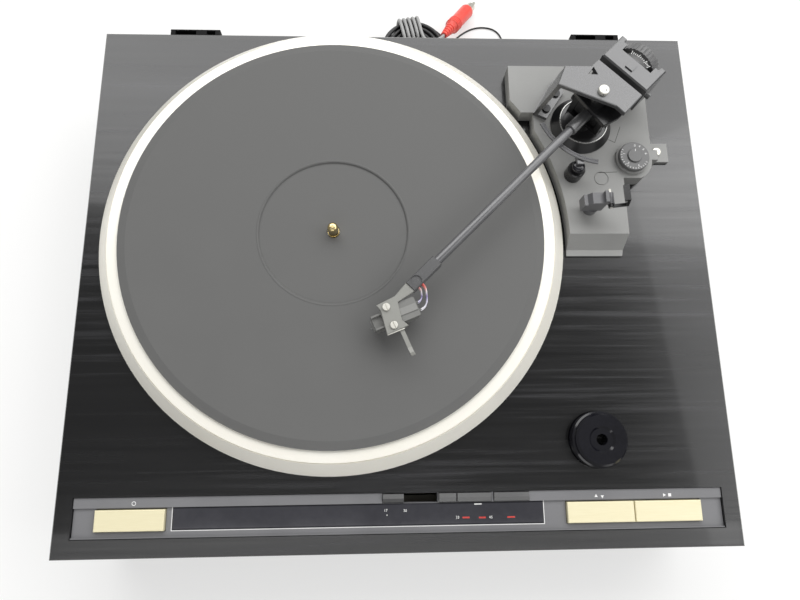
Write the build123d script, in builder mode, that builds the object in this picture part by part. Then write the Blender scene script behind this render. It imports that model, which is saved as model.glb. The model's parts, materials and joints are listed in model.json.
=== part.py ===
from build123d import *
import math
import os

# A fully automatic turntable with a straight arm. Millimetres, +Z up, Z = 0 on the table.
# Heights are given over the deck top, and places from the middle of the deck.

# Plinth
plinth_width = 450.0
plinth_depth = 380.0
deck_top = 95.0
cover_thickness = 3.0
foot_height = 15.0
side_wall = 15.0
deck_thickness = 18.0
edge_break = 0.8
hinge_reach = 5.2
plinth_y = -hinge_reach / 2
plinth_bottom = foot_height + cover_thickness
cabinet_height = deck_top - plinth_bottom
inner_width = plinth_width - 2 * side_wall
inner_depth = plinth_depth - 2 * side_wall
deck_under = -deck_thickness

# Feet and the screws under the plinth
foot_radius = 21.0
foot_tip_radius = 17.0
pad_height = 3.0
pad_inset = 3.0
foot_inset = 48.0
cover_margin = 5.0
screw_radius = 1.9
screw_head_radius = 3.6
screw_head_height = 1.6
arm_screw_head = 2.9
screw_length = 14.0
screw_clearance = 0.15
case_screw_columns = 3

# Platter, mat and motor
platter_x = -47.0
platter_y = 22.6
lip_radius = 164.0
lip_bottom = 3.65
lip_height = 2.2
rim_top_radius = 155.3
rim_shoulder = 13.9
rim_top = 14.5
rim_groove = 0.7
mat_radius = 147.5
mat_top = 18.0
mat_thickness = 4.0
mat_bevel = 6.0
mat_bevel_drop = 1.5
label_radius = 51.7
label_drop = 1.1
bead_width = 1.6
platter_web = 3.6
platter_wall = 4.5
hub_radius = 19.0
hub_bottom = 8.6
spindle_radius = 3.6
spindle_top = 27.6
shaft_radius = 4.0
fit = 0.05
mat_hole_gap = 0.6
motor_radius = 52.0
motor_flange_radius = 66.0
motor_flange = 2.0
motor_top = 5.6
motor_depth = 34.0
motor_wall = 1.6
motor_hole_gap = 2.0
sleeve_radius = 8.0
sleeve_bore_wall = 3.0
rotor_radius = 46.0
rotor_ring = 8.0
rotor_height = 14.0
coil_count = 9
coil_radius = 7.0
coil_orbit = 25.0
coil_height = 9.0
motor_screw_orbit = 59.0
motor_screw_count = 4

# Front panel, window, buttons and keys
front_edge = -plinth_depth / 2
panel_width = 427.0
panel_back = front_edge + 37.2
panel_front = front_edge + 12.0
panel_face = -2.5
panel_ledge = -1.0
panel_ledge_front = front_edge + 30.8
panel_lip = 0.8
panel_thickness = 7.0
panel_gap = 0.3
window_x = -28.8
window_y = front_edge + 23.5
window_width = 242.6
window_depth = 13.7
window_thickness = 2.4
window_bevel = 0.7
window_seat = 0.1
button_y = front_edge + 23.0
button_depth = 13.3
button_thickness = 6.0
button_top = 0.3
button_gap = 0.5
button_travel = 1.5
power_x = -176.9
power_width = 44.5
up_down_x = 130.6
start_cut_x = 176.2
transport_width = 44.9
stem_radius = 3.0
key_y = front_edge + 33.9
key_depth = 5.4
key_top = 0.7
key_front_drop = 1.1
key_thickness = 4.5
key_gap = 0.4
mode_key_x = 28.9
mode_key_width = 11.2
speed_key_x = 46.7
speed_key_width = 22.6
repeat_key_x = 71.4
repeat_key_width = 23.2
slider_x = -7.0
slider_width = 13.7
slider_slope = 2.6
slider_slot_end = 22.4
lamp_offsets = (67.3, 77.6, 96.4)
lamp_size = 2.6
lamp_height = 2.4
board_thickness = 1.6
switch_board_drop = 17.0

# Record adaptor that lies in its well
adaptor_x = 131.2
adaptor_y = -120.2
adaptor_radius = 18.6
adaptor_top = 12.5
adaptor_bore = 3.75
adaptor_well = 4.0
adaptor_gap = 0.5

# Arm: the pivot, the tube's direction to the rear, and the heights over the deck
pivot_x = 134.7
pivot_y = 106.9
arm_angle = 44.8
arm_height = 36.0
park_swing = 46.3
tube_radius = 3.1
tube_bore = 2.4
tube_front = -160.5
sleeve_front = -23.5
sleeve_outer = 4.3
block_front = -5.0
block_rear = 14.0
block_half_width = 9.5
block_half_height = 6.5
pivot_gap = 0.4

# Headshell, placed by its screws: distance before the pivot, to the right of the tube, turned
shell_along = -206.5
shell_side = 4.3
shell_offset = 22.0
shell_top = 2.7
shell_thickness = 1.7
shell_screw_spacing = 12.7
collar_length = 25.0
collar_width = 8.2
collar_height = 7.0
collar_dimple = 3.7
cartridge_width = 13.0
cartridge_rear = 19.0
cartridge_height = 12.0
stylus_tip = 20.2
lift_width = 2.8
lift_reach = 29.0

# Rear weight with its force dial
weight_front = 29.0
weight_rear = 51.5
weight_half_width = 20.0
weight_up = 12.8
weight_down = 13.0
weight_shaft_radius = 4.0
drum_radius = 12.2
drum_front = 42.5
drum_length = 4.6
wheel_radius = 15.2
wheel_rear = 54.5
wheel_flutes = 32
flute_radius = 0.6
dial_gap = 0.6

# Gimbal frame, turning ring and pillar
frame_top = 58.5
frame_plate = 3.4
ring_top = 48.0
ring_plate = 3.0
ring_cheek = 4.0
ring_bottom = 23.0
pivot_cap_radius = 3.6
pivot_cap_height = 2.4
pivot_pin_radius = 1.1
pillar_radius = 18.0
pillar_foot_radius = 22.3
pillar_top = 19.0
pillar_cup_radius = 14.5
pillar_cup_floor = 15.0
arm_shaft_radius = 3.0
arm_shaft_bottom = -44.0

# Arm base
base_height = 12.0
base_flange = 1.8
base_clear_radius = 167.6
base_front = 9.3
base_rear = 157.0
base_left_front = 100.0
base_left_rear = 83.0
base_left_step = 118.0
base_right_front = 163.6
base_right_rear = 191.0
ramp_top = 22.8
ramp_bottom = 13.7
lobe_radius = 15.6
dial_x = 170.6
dial_y = 80.2
dial_radius = 11.0
dial_top = 18.2
dial_collar_radius = 12.2
dial_collar_top = 14.6
dial_knob_radius = 5.2
dial_knob_height = 1.2

# Cue lifter under the tube
lifter_x = 125.8
lifter_y = 67.8
lifter_radius = 6.3
lifter_top = 22.0
dome_radius = 4.6
dome_height = 5.0
rod_radius = 2.0
cue_gap = 0.6
cue_bar_height = 1.6
cue_bar_width = 2.8
cue_left = (96.8, 94.7)
cue_middle = (117.6, 78.2)
cue_right = (139.5, 67.6)

# Arm rest and its clip, placed along the parked tube
rest_reach = 65.2
rest_post_radius = 5.2
cradle_depth = 8.0
cradle_left = 9.0
cradle_wall = 2.4
cradle_gap = 0.5
cradle_rise = 3.4
clip_thickness = 2.0
clip_pin_radius = 1.0


def deck(height, x=0.0, y=0.0):
    """Level plane at a height over the deck top, above a place on the deck."""
    return Plane(origin=(x, plinth_y + y, deck_top + height))


def upright(x, y=0.0, height=0.0):
    """Plane square to the width of the plinth: its x runs to the back, its y up."""
    origin = (x, plinth_y + y, deck_top + height)
    return Plane(origin=origin, x_dir=(0, 1, 0), z_dir=(1, 0, 0))


def radial(x, y):
    """Upright plane through a place on the deck: x outwards, y up from the deck top."""
    return Plane(origin=(x, plinth_y + y, deck_top), x_dir=(1, 0, 0), z_dir=(0, -1, 0))


def plumb(x, y):
    """Vertical axis through a place on the deck."""
    return Axis((x, plinth_y + y, 0), (0, 0, 1))


def turned(height, x, y, angle, along=0.0, left=0.0):
    """Level plane turned about a place on the deck, moved along itself and to its left."""
    cosine = math.cos(math.radians(angle))
    sine = math.sin(math.radians(angle))
    origin = (
        x + along * cosine - left * sine,
        plinth_y + y + along * sine + left * cosine,
        deck_top + height,
    )
    return Plane(origin=origin, x_dir=(cosine, sine, 0), z_dir=(0, 0, 1))


def arm(height, along=0.0, left=0.0):
    """Level plane at the arm's pivot, x along the tube to the rear."""
    return turned(height, pivot_x, pivot_y, arm_angle, along, left)


def arm_section(along, height=arm_height, left=0.0):
    """Plane square to the tube: x to its left, y up, facing the rear."""
    level = arm(height, along, left)
    return Plane(origin=level.origin, x_dir=level.y_dir, z_dir=level.x_dir)


def shell(height, along=0.0, left=0.0):
    """Level plane between the headshell's screws, x along the cartridge to the rear."""
    middle = arm(0, shell_along, -shell_side).origin
    angle = arm_angle - shell_offset
    return turned(arm_height + height, middle.X, middle.Y - plinth_y, angle, along, left)


def parked(height, along=0.0, left=0.0):
    """Level plane under the parked tube at the arm rest, x towards the pivot."""
    angle = arm_angle + park_swing
    return turned(height, pivot_x, pivot_y, angle, along - rest_reach, left)


def side_plane(level):
    """Upright plane on a level plane's x axis: x along it, y up, facing its right."""
    return Plane(origin=level.origin, x_dir=level.x_dir, z_dir=-level.y_dir)


# Platter geometry shared by the motor, the mat and the arm base
platter_axis = (platter_x, platter_y)
mat_seat = mat_top - mat_thickness
web_under = mat_seat - platter_web
motor_bottom = -motor_depth

# Cabinet: four walls and a deck in one veneered shell, open below
foot_spots = [
    (sx * (plinth_width / 2 - foot_inset), sy * (plinth_depth / 2 - foot_inset))
    for sx in (-1, 1)
    for sy in (-1, 1)
]
wall_middle = plinth_depth / 2 - side_wall / 2
case_screw_step = (plinth_width - 2 * foot_inset) / (case_screw_columns - 1)
case_screw_hole = screw_radius + screw_clearance
motor_hole = motor_radius + motor_hole_gap
pillar_hole = arm_shaft_radius + 6.0

with BuildPart() as cabinet:
    with BuildSketch(deck(-cabinet_height)):
        Rectangle(plinth_width, plinth_depth)
    extrude(amount=cabinet_height)
    chamfer(cabinet.edges().group_by(Axis.Z)[-1], edge_break)
    with BuildSketch(deck(-cabinet_height)):
        Rectangle(inner_width, inner_depth)
    extrude(amount=cabinet_height - deck_thickness, mode=Mode.SUBTRACT)
    with BuildSketch(deck(0)):
        with Locations(platter_axis):
            Circle(motor_hole)
        with Locations((pivot_x, pivot_y)):
            Circle(pillar_hole)
        with Locations((0, (panel_back + panel_front) / 2)):
            Rectangle(panel_width + 2 * panel_gap, panel_back - panel_front + 2 * panel_gap)
    extrude(amount=-deck_thickness, mode=Mode.SUBTRACT)
    with BuildSketch(deck(0)):
        with Locations((adaptor_x, adaptor_y)):
            Circle(adaptor_radius + adaptor_gap)
    extrude(amount=-adaptor_well, mode=Mode.SUBTRACT)
    with BuildSketch(deck(-cabinet_height)):
        with Locations((0, wall_middle), (0, -wall_middle)):
            with GridLocations(case_screw_step, 1, case_screw_columns, 1):
                Circle(case_screw_hole)
    extrude(amount=screw_length, mode=Mode.SUBTRACT)
cabinet.part.label = "cabinet"

# Bottom cover with vent slots under the transformer
cover_bottom = -cabinet_height - cover_thickness
vent_length = 44.0
vent_width = 4.0
vent_pitch = 10.0
vent_count = 6
transformer_x = -150.0
transformer_y = 105.0

with BuildPart() as bottom_cover:
    with BuildSketch(deck(cover_bottom)):
        RectangleRounded(plinth_width - 2 * cover_margin, plinth_depth - 2 * cover_margin, 6)
        with Locations((transformer_x, transformer_y)):
            with GridLocations(1, vent_pitch, 1, vent_count):
                SlotOverall(vent_length, vent_width, mode=Mode.SUBTRACT)
        with Locations((0, wall_middle), (0, -wall_middle)):
            with GridLocations(case_screw_step, 1, case_screw_columns, 1):
                Circle(case_screw_hole, mode=Mode.SUBTRACT)
    extrude(amount=cover_thickness)
bottom_cover.part.label = "bottom_cover"

# Feet: moulded cups with soft pads let into their tips
foot_bottom = cover_bottom - foot_height
pad_radius = foot_tip_radius - pad_inset

with BuildPart() as feet:
    for spot in foot_spots:
        with BuildSketch(deck(cover_bottom, *spot)):
            Circle(foot_radius)
        with BuildSketch(deck(foot_bottom + pad_height / 2, *spot)):
            Circle(foot_tip_radius)
        loft()
        with BuildSketch(deck(foot_bottom + pad_height / 2, *spot)):
            Circle(pad_radius + fit)
        extrude(amount=pad_height / 2, mode=Mode.SUBTRACT)
feet.part.label = "feet"

with BuildPart() as foot_pads:
    for spot in foot_spots:
        with BuildSketch(deck(foot_bottom, *spot)):
            Circle(pad_radius)
        extrude(amount=pad_height)
foot_pads.part.label = "foot_pads"

# Motor: a can let into the deck, with its coils, rotor and bearing sleeve
motor_axis = (platter_x, platter_y)
motor_can_top = motor_top - motor_wall
sleeve_bottom = motor_bottom + motor_wall

with BuildPart() as motor_housing:
    with BuildSketch(deck(motor_bottom, *motor_axis)):
        Circle(motor_radius)
    extrude(amount=motor_depth + motor_top)
    with BuildSketch(deck(0, *motor_axis)):
        Circle(motor_flange_radius)
    extrude(amount=motor_flange)
    with BuildSketch(deck(sleeve_bottom, *motor_axis)):
        Circle(motor_radius - motor_wall)
    extrude(amount=motor_can_top - sleeve_bottom, mode=Mode.SUBTRACT)
    with BuildSketch(deck(motor_can_top, *motor_axis)):
        Circle(sleeve_radius + fit)
    extrude(amount=motor_wall, mode=Mode.SUBTRACT)
    with BuildSketch(deck(0, *motor_axis)):
        with PolarLocations(motor_screw_orbit, motor_screw_count, 45):
            Circle(screw_radius + screw_clearance)
    extrude(amount=motor_flange, mode=Mode.SUBTRACT)
motor_housing.part.label = "motor_housing"

# Screws that hold the cover to the walls and the motor to the deck
with BuildPart() as screws:
    with BuildSketch(deck(cover_bottom)):
        with Locations((0, wall_middle), (0, -wall_middle)):
            with GridLocations(case_screw_step, 1, case_screw_columns, 1):
                Circle(screw_radius)
    extrude(amount=screw_length)
    with BuildSketch(deck(cover_bottom)):
        with Locations((0, wall_middle), (0, -wall_middle)):
            with GridLocations(case_screw_step, 1, case_screw_columns, 1):
                Circle(screw_head_radius)
    extrude(amount=-screw_head_height)
    with BuildSketch(deck(motor_flange, *motor_axis)):
        with PolarLocations(motor_screw_orbit, motor_screw_count, 45):
            Circle(screw_head_radius)
    extrude(amount=0.9)
    with BuildSketch(deck(motor_flange, *motor_axis)):
        with PolarLocations(motor_screw_orbit, motor_screw_count, 45):
            Circle(screw_radius)
    extrude(amount=-motor_flange)
screws.part.label = "screws"

with BuildPart() as motor_coils:
    with BuildSketch(deck(sleeve_bottom, *motor_axis)):
        Circle(coil_orbit + coil_radius + 1)
        Circle(sleeve_radius + fit, mode=Mode.SUBTRACT)
    extrude(amount=board_thickness)
    with BuildSketch(deck(sleeve_bottom + board_thickness, *motor_axis)):
        with PolarLocations(coil_orbit, coil_count):
            Circle(coil_radius)
            Circle(coil_radius / 3, mode=Mode.SUBTRACT)
    extrude(amount=coil_height)
motor_coils.part.label = "motor_coils"

with BuildPart() as bearing_sleeve:
    with BuildSketch(deck(sleeve_bottom, *motor_axis)):
        Circle(sleeve_radius)
    extrude(amount=motor_top - sleeve_bottom)
    with BuildSketch(deck(motor_top, *motor_axis)):
        Circle(shaft_radius + fit)
    extrude(amount=sleeve_bottom + sleeve_bore_wall - motor_top, mode=Mode.SUBTRACT)
bearing_sleeve.part.label = "bearing_sleeve"

# Spindle: one turned shaft from the thrust bearing to the record
spindle_bottom = sleeve_bottom + sleeve_bore_wall + 2 * fit
spindle_rounding = 2.6

with BuildPart() as spindle:
    with BuildSketch(deck(mat_top - label_drop, *motor_axis)):
        Circle(spindle_radius)
    extrude(amount=spindle_top - mat_top + label_drop)
    fillet(spindle.edges().group_by(Axis.Z)[-1], spindle_rounding)
    with BuildSketch(deck(spindle_bottom, *motor_axis)):
        Circle(shaft_radius)
    extrude(amount=mat_top - label_drop - spindle_bottom)
    chamfer(spindle.edges().group_by(Axis.Z)[0], 0.5)
spindle.part.label = "spindle"

rotor_top = motor_can_top - 1.4
rotor_disc = 2.0
rotor_inner = sleeve_radius + 0.6

with BuildPart() as motor_rotor:
    with BuildSketch(deck(rotor_top, *motor_axis)):
        Circle(rotor_radius)
        Circle(rotor_inner, mode=Mode.SUBTRACT)
    extrude(amount=-rotor_disc)
    with BuildSketch(deck(rotor_top - rotor_disc, *motor_axis)):
        Circle(rotor_radius)
        Circle(rotor_radius - rotor_ring, mode=Mode.SUBTRACT)
    extrude(amount=-rotor_height)
motor_rotor.part.label = "motor_rotor"

# Platter: a cast disc turned on its rim, with a hub that carries it on the spindle
hub_taper = 3.0

with BuildPart() as platter:
    with BuildSketch(radial(*platter_axis)):
        Polygon(
            (shaft_radius + fit, hub_bottom),
            (hub_radius - hub_taper, hub_bottom),
            (hub_radius, web_under),
            (rim_top_radius - platter_wall, web_under),
            (lip_radius - platter_wall, lip_bottom + lip_height),
            (lip_radius - platter_wall, lip_bottom),
            (lip_radius, lip_bottom),
            (lip_radius, lip_bottom + lip_height),
            (rim_top_radius + rim_groove, rim_shoulder),
            (rim_top_radius, rim_shoulder - rim_groove),
            (rim_top_radius, rim_top),
            (mat_radius + fit, rim_top),
            (mat_radius + fit, mat_seat),
            (shaft_radius + fit, mat_seat),
            align=None,
        )
    revolve(axis=plumb(*platter_axis))
platter.part.label = "platter"

# Mat: moulded rubber with a bevelled edge, a bead round the label and a lower middle
with BuildPart() as platter_mat:
    with BuildSketch(radial(*platter_axis)):
        Polygon(
            (shaft_radius + mat_hole_gap, mat_seat),
            (mat_radius, mat_seat),
            (mat_radius, mat_top - mat_bevel_drop),
            (mat_radius - mat_bevel, mat_top),
            (label_radius + bead_width, mat_top),
            (label_radius + bead_width / 2, mat_top + label_drop / 4),
            (label_radius, mat_top),
            (label_radius - bead_width / 2, mat_top - label_drop),
            (shaft_radius + mat_hole_gap, mat_top - label_drop),
            align=None,
        )
    revolve(axis=plumb(*platter_axis))
platter_mat.part.label = "platter_mat"

# Front panel: one moulding with a sunk face, a ledge for the keys and pockets
panel_under = panel_face - panel_thickness
window_top = panel_face + window_thickness - 1.4
window_floor = window_top - window_thickness
slider_slot_start = slider_x - slider_width / 2 - key_gap
slider_slot = slider_slot_end - slider_slot_start
buttons = {
    "power_button": (power_x, power_width),
    "up_down_button": (up_down_x, transport_width),
    "start_cut_button": (start_cut_x, transport_width),
}
keys = {
    "mode_key": (mode_key_x, mode_key_width),
    "speed_key": (speed_key_x, speed_key_width),
    "repeat_key": (repeat_key_x, repeat_key_width),
}

with BuildPart() as control_panel:
    with BuildSketch(upright(-panel_width / 2)):
        Polygon(
            (panel_front, panel_under),
            (panel_back, panel_under),
            (panel_back, panel_ledge),
            (panel_ledge_front, panel_ledge),
            (panel_ledge_front, panel_face),
            (panel_front + panel_lip, panel_face),
            (panel_front + panel_lip, panel_face + 2 * panel_lip),
            (panel_front, panel_face + 2 * panel_lip),
            align=None,
        )
    extrude(amount=panel_width)
    with BuildSketch(deck(0)):
        for x, width in buttons.values():
            with Locations((x, button_y)):
                Rectangle(width + 2 * button_gap, button_depth + 2 * button_gap)
        for x, width in keys.values():
            with Locations((x, key_y)):
                Rectangle(width + 2 * key_gap, key_depth + 2 * key_gap)
        with Locations((slider_slot_start + slider_slot / 2, key_y)):
            Rectangle(slider_slot, key_depth + 2 * key_gap)
        for offset in lamp_offsets:
            with Locations((window_x + offset, window_y - lamp_size)):
                Rectangle(lamp_size + 2 * fit, lamp_size + 2 * fit)
    extrude(amount=panel_under - 1, mode=Mode.SUBTRACT)
    with BuildSketch(deck(window_floor, window_x, window_y)):
        Rectangle(window_width + 2 * window_seat, window_depth + 2 * window_seat)
    extrude(amount=window_thickness * 2, mode=Mode.SUBTRACT)
control_panel.part.label = "control_panel"

with BuildPart() as display_window:
    with BuildSketch(deck(window_floor, window_x, window_y)):
        Rectangle(window_width, window_depth)
    extrude(amount=window_thickness)
    chamfer(display_window.edges().group_by(Axis.Z)[-1], window_bevel)
display_window.part.label = "display_window"

with BuildPart() as indicator_lamps:
    for offset in lamp_offsets:
        with BuildSketch(deck(window_floor, window_x + offset, window_y - lamp_size)):
            Rectangle(lamp_size, lamp_size)
        extrude(amount=-lamp_height)
indicator_lamps.part.label = "indicator_lamps"

# Places of the board under the panel that carries the switches
switch_board_top = panel_under - switch_board_drop + board_thickness
rail_width = 4.0
switch_board_width = inner_width - 8.0
switch_board_depth = 18.0
switch_board_y = -wall_middle + side_wall / 2 + 0.5 + switch_board_depth / 2
rail_spots = [(sx * (switch_board_width - rail_width) / 2, switch_board_y) for sx in (-1, 1)]

# Buttons: moulded caps, each on a stem over its switch
stem_bottom = switch_board_top + button_travel + 0.3


def push_button(x, width):
    """Cap with eased edges on a round stem."""
    with BuildPart() as cap:
        with BuildSketch(deck(button_top, x, button_y)):
            Rectangle(width, button_depth)
        extrude(amount=-button_thickness)
        fillet(cap.edges().group_by(Axis.Z)[-1], 0.6)
        with BuildSketch(deck(button_top - button_thickness, x, button_y)):
            Circle(stem_radius)
        extrude(amount=stem_bottom - button_top + button_thickness)
    return cap.part


def ledge_key(x, width):
    """Key with a face that slopes to the front, on a flat stem."""
    with BuildPart() as cap:
        with BuildSketch(upright(x - width / 2)):
            Polygon(
                (key_y - key_depth / 2, key_top - key_thickness),
                (key_y + key_depth / 2, key_top - key_thickness),
                (key_y + key_depth / 2, key_top),
                (key_y, key_top),
                (key_y - key_depth / 2, key_top - key_front_drop),
                align=None,
            )
        extrude(amount=width)
        with BuildSketch(deck(key_top - key_thickness, x, key_y)):
            Rectangle(key_depth, key_depth / 2)
        extrude(amount=stem_bottom - key_top + key_thickness)
    return cap.part


moving_caps = {name: push_button(*place) for name, place in buttons.items()}
moving_caps.update({name: ledge_key(*place) for name, place in keys.items()})
for name, cap in moving_caps.items():
    cap.label = name

# Slider for the record size: its grip slopes down towards the window
with BuildPart() as size_slider:
    with BuildSketch(upright(slider_x - slider_width / 2)):
        Polygon(
            (key_y - key_depth / 2, panel_face - 1),
            (key_y + key_depth / 2, panel_face - 1),
            (key_y + key_depth / 2, key_top + 0.6),
            (key_y - key_depth / 2 + slider_slope, key_top + 0.6),
            (key_y - key_depth / 2, panel_face + 1.2),
            align=None,
        )
    extrude(amount=slider_width)
    with BuildSketch(deck(panel_face - 1, slider_x, key_y)):
        Rectangle(slider_width / 2, key_depth / 2)
    extrude(amount=stem_bottom - panel_face + 1)
size_slider.part.label = "size_slider"

# Record adaptor: a turned disc with a stepped edge and a bore for the spindle
with BuildPart() as ep_adaptor:
    with BuildSketch(radial(adaptor_x, adaptor_y)):
        Polygon(
            (adaptor_bore, -adaptor_well),
            (adaptor_radius, -adaptor_well),
            (adaptor_radius, adaptor_top - 5.0),
            (adaptor_radius - 1.2, adaptor_top - 4.2),
            (adaptor_radius - 1.2, adaptor_top - 1.4),
            (adaptor_radius - 2.6, adaptor_top),
            (adaptor_bore + 5.0, adaptor_top),
            (adaptor_bore + 3.6, adaptor_top - 1.2),
            (adaptor_bore, adaptor_top - 1.2),
            align=None,
        )
    revolve(axis=plumb(adaptor_x, adaptor_y))
ep_adaptor.part.label = "ep_adaptor"

# Arm base: a moulded platform that ramps down at the front and on the right
lobe_join = dial_y - lobe_radius * 0.92
tab_depth = 15.0
tab_y = 90.5
tab_reach = 203.5
tab_height = 2.6
transit_x = 194.6
transit_y = 90.8
cap_x = 146.9
cap_y = 65.2
cap_radius = 4.8
cap_groove = 0.5

with BuildPart() as arm_base:
    with BuildSketch(deck(0)):
        Polygon(
            (base_left_front, base_front),
            (base_right_front - 2.4, base_front),
            (base_right_front, ramp_top),
            (base_right_front, lobe_join),
            (base_right_rear, lobe_join),
            (base_right_rear, base_rear),
            (base_left_rear, base_rear),
            (base_left_rear, base_left_step),
            (base_left_front, base_left_step),
            align=None,
        )
        with Locations(platter_axis):
            Circle(base_clear_radius, mode=Mode.SUBTRACT)
    extrude(amount=base_height)
    with BuildSketch(upright(0)):
        Polygon(
            (ramp_top, base_height + 1),
            (ramp_top, base_height),
            (ramp_bottom, base_flange),
            (base_front - 1, base_flange),
            (base_front - 1, base_height + 1),
            align=None,
        )
    extrude(amount=plinth_width / 2, mode=Mode.SUBTRACT)
    with BuildSketch(deck(0)):
        with Locations((base_right_rear, lobe_join)):
            Rectangle(
                base_right_rear - dial_x,
                dial_y - lobe_join,
                align=(Align.MAX, Align.MIN),
            )
        with Locations((dial_x, dial_y)):
            Circle(lobe_radius, mode=Mode.SUBTRACT)
    extrude(amount=base_height, mode=Mode.SUBTRACT)
    with BuildSketch(radial(0, dial_y + lobe_radius / 2)):
        Polygon(
            (dial_x + lobe_radius, base_height + 1),
            (dial_x + lobe_radius, base_height),
            (base_right_rear, base_flange),
            (base_right_rear + 1, base_flange),
            (base_right_rear + 1, base_height + 1),
            align=None,
        )
    extrude(amount=-plinth_depth / 2, mode=Mode.SUBTRACT)
    with BuildSketch(deck(0, base_right_rear - lobe_radius / 2, tab_y)):
        Rectangle(
            tab_reach - base_right_rear + lobe_radius / 2,
            tab_depth,
            align=(Align.MIN, Align.CENTER),
        )
    extrude(amount=tab_height)
    with BuildSketch(deck(base_height, dial_x, dial_y)):
        Circle(dial_collar_radius)
    extrude(amount=dial_collar_top - base_height)
    with BuildSketch(deck(base_height, cap_x, cap_y)):
        Circle(cap_radius + cap_groove)
        Circle(cap_radius, mode=Mode.SUBTRACT)
    extrude(amount=-cap_groove, mode=Mode.SUBTRACT)
    with BuildSketch(deck(0, pivot_x, pivot_y)):
        Circle(pillar_hole)
    extrude(amount=base_height, mode=Mode.SUBTRACT)
    with BuildSketch(deck(0, transit_x, transit_y)):
        Circle(screw_radius + screw_clearance)
    extrude(amount=tab_height, mode=Mode.SUBTRACT)
arm_base.part.label = "arm_base"

# Anti-skate dial over its collar
with BuildPart() as anti_skate_dial:
    with BuildSketch(deck(dial_collar_top + pivot_gap / 2, dial_x, dial_y)):
        Circle(dial_radius)
    extrude(amount=dial_top - dial_collar_top - pivot_gap / 2)
    chamfer(anti_skate_dial.edges().group_by(Axis.Z)[-1], 0.5)
    with BuildSketch(deck(dial_top, dial_x, dial_y)):
        Circle(dial_knob_radius)
    extrude(amount=dial_knob_height)
    fillet(anti_skate_dial.edges().group_by(Axis.Z)[-1], 0.4)
anti_skate_dial.part.label = "anti_skate_dial"

# Pillar under the gimbal: a turned cup with a bright rim and the lower bearing in it
pillar_rim_width = 1.3
pillar_rim_height = 0.9
pillar_boss_radius = 6.0
pillar_boss_top = ring_bottom - pivot_gap

with BuildPart() as arm_pillar:
    with BuildSketch(radial(pivot_x, pivot_y)):
        Polygon(
            (arm_shaft_radius + fit, base_height),
            (pillar_foot_radius, base_height),
            (pillar_foot_radius, base_height + 1.2),
            (pillar_radius, pillar_top),
            (pillar_cup_radius, pillar_top),
            (pillar_cup_radius, pillar_cup_floor),
            (pillar_boss_radius, pillar_cup_floor),
            (pillar_boss_radius - 1, pillar_boss_top),
            (arm_shaft_radius + fit, pillar_boss_top),
            align=None,
        )
    revolve(axis=plumb(pivot_x, pivot_y))
arm_pillar.part.label = "arm_pillar"

with BuildPart() as pillar_rim:
    with BuildSketch(deck(pillar_top, pivot_x, pivot_y)):
        Circle(pillar_radius)
        Circle(pillar_radius - pillar_rim_width, mode=Mode.SUBTRACT)
    extrude(amount=pillar_rim_height)
    fillet(pillar_rim.edges().group_by(Axis.Z)[-1], pillar_rim_width * 0.4)
pillar_rim.part.label = "pillar_rim"

# Gimbal frame: a faceted bracket whose wing stands on the base and carries the top plate
frame_under = frame_top - frame_plate
wing_foot_height = 3.0
wing_cut_height = 18.0
wing_cut_along = 3.5
cap_screw_radius = 2.4
wing_foot = [(-18.5, 31.5), (12.7, 39.2), (13.4, 36.3), (-17.8, 28.6)]
wing_head = [(-17.7, 25.0), (-4.0, 30.6), (-3.0, 27.8), (-16.6, 22.2)]
frame_screw_spots = [(-9.5, 26.6), (5.0, 30.0)]

with BuildPart() as gimbal_frame:
    with BuildSketch(arm(frame_under)):
        Polygon(
            (16.6, 17.9),
            (8.6, 17.9),
            (-4.0, 30.6),
            (-17.7, 25.0),
            (-2.0, -13.1),
            (-2.1, -21.0),
            (17.0, -20.6),
            align=None,
        )
        Polygon((9.4, 16.4), (7.1, 10.4), (2.4, 15.4), align=None, mode=Mode.SUBTRACT)
        Circle(cap_screw_radius + fit, mode=Mode.SUBTRACT)
    extrude(amount=frame_plate)
    chamfer(gimbal_frame.faces().sort_by(Axis.Z)[-1].outer_wire().edges(), 0.5)
    with BuildSketch(arm(base_height)):
        Polygon(*wing_foot, align=None)
    with BuildSketch(arm(frame_under)):
        Polygon(*wing_head, align=None)
    loft(ruled=True)
    with BuildSketch(arm(wing_cut_height, wing_cut_along)):
        Rectangle(30, 80, align=(Align.MIN, Align.MIN))
    extrude(amount=frame_under - wing_cut_height, mode=Mode.SUBTRACT)
    with BuildSketch(arm(base_height)):
        Polygon(*wing_foot[:2], (11.0, 27.0), (-15.0, 21.5), align=None)
        with Locations(*frame_screw_spots):
            Circle(screw_radius + screw_clearance, mode=Mode.SUBTRACT)
    extrude(amount=wing_foot_height)
gimbal_frame.part.label = "gimbal_frame"

# Screws that hold the frame to the base, and the one on the base's tab
with BuildPart() as arm_screws:
    for along, left in frame_screw_spots:
        with BuildSketch(arm(base_height, along, left)):
            Circle(screw_radius)
        extrude(amount=wing_foot_height)
        with BuildSketch(arm(base_height + wing_foot_height, along, left)):
            Circle(arm_screw_head)
        extrude(amount=screw_head_height)
    with BuildSketch(deck(tab_height, transit_x, transit_y)):
        Circle(screw_radius)
    extrude(amount=-tab_height)
    with BuildSketch(deck(tab_height, transit_x, transit_y)):
        Circle(arm_screw_head)
    extrude(amount=screw_head_height)
arm_screws.part.label = "arm_screws"

# Top pivot: a capped screw whose point runs in the boss of the turning ring
ring_boss_top = frame_under - pivot_gap
ring_boss_radius = 6.5
top_point = ring_boss_top - 2.0

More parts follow.
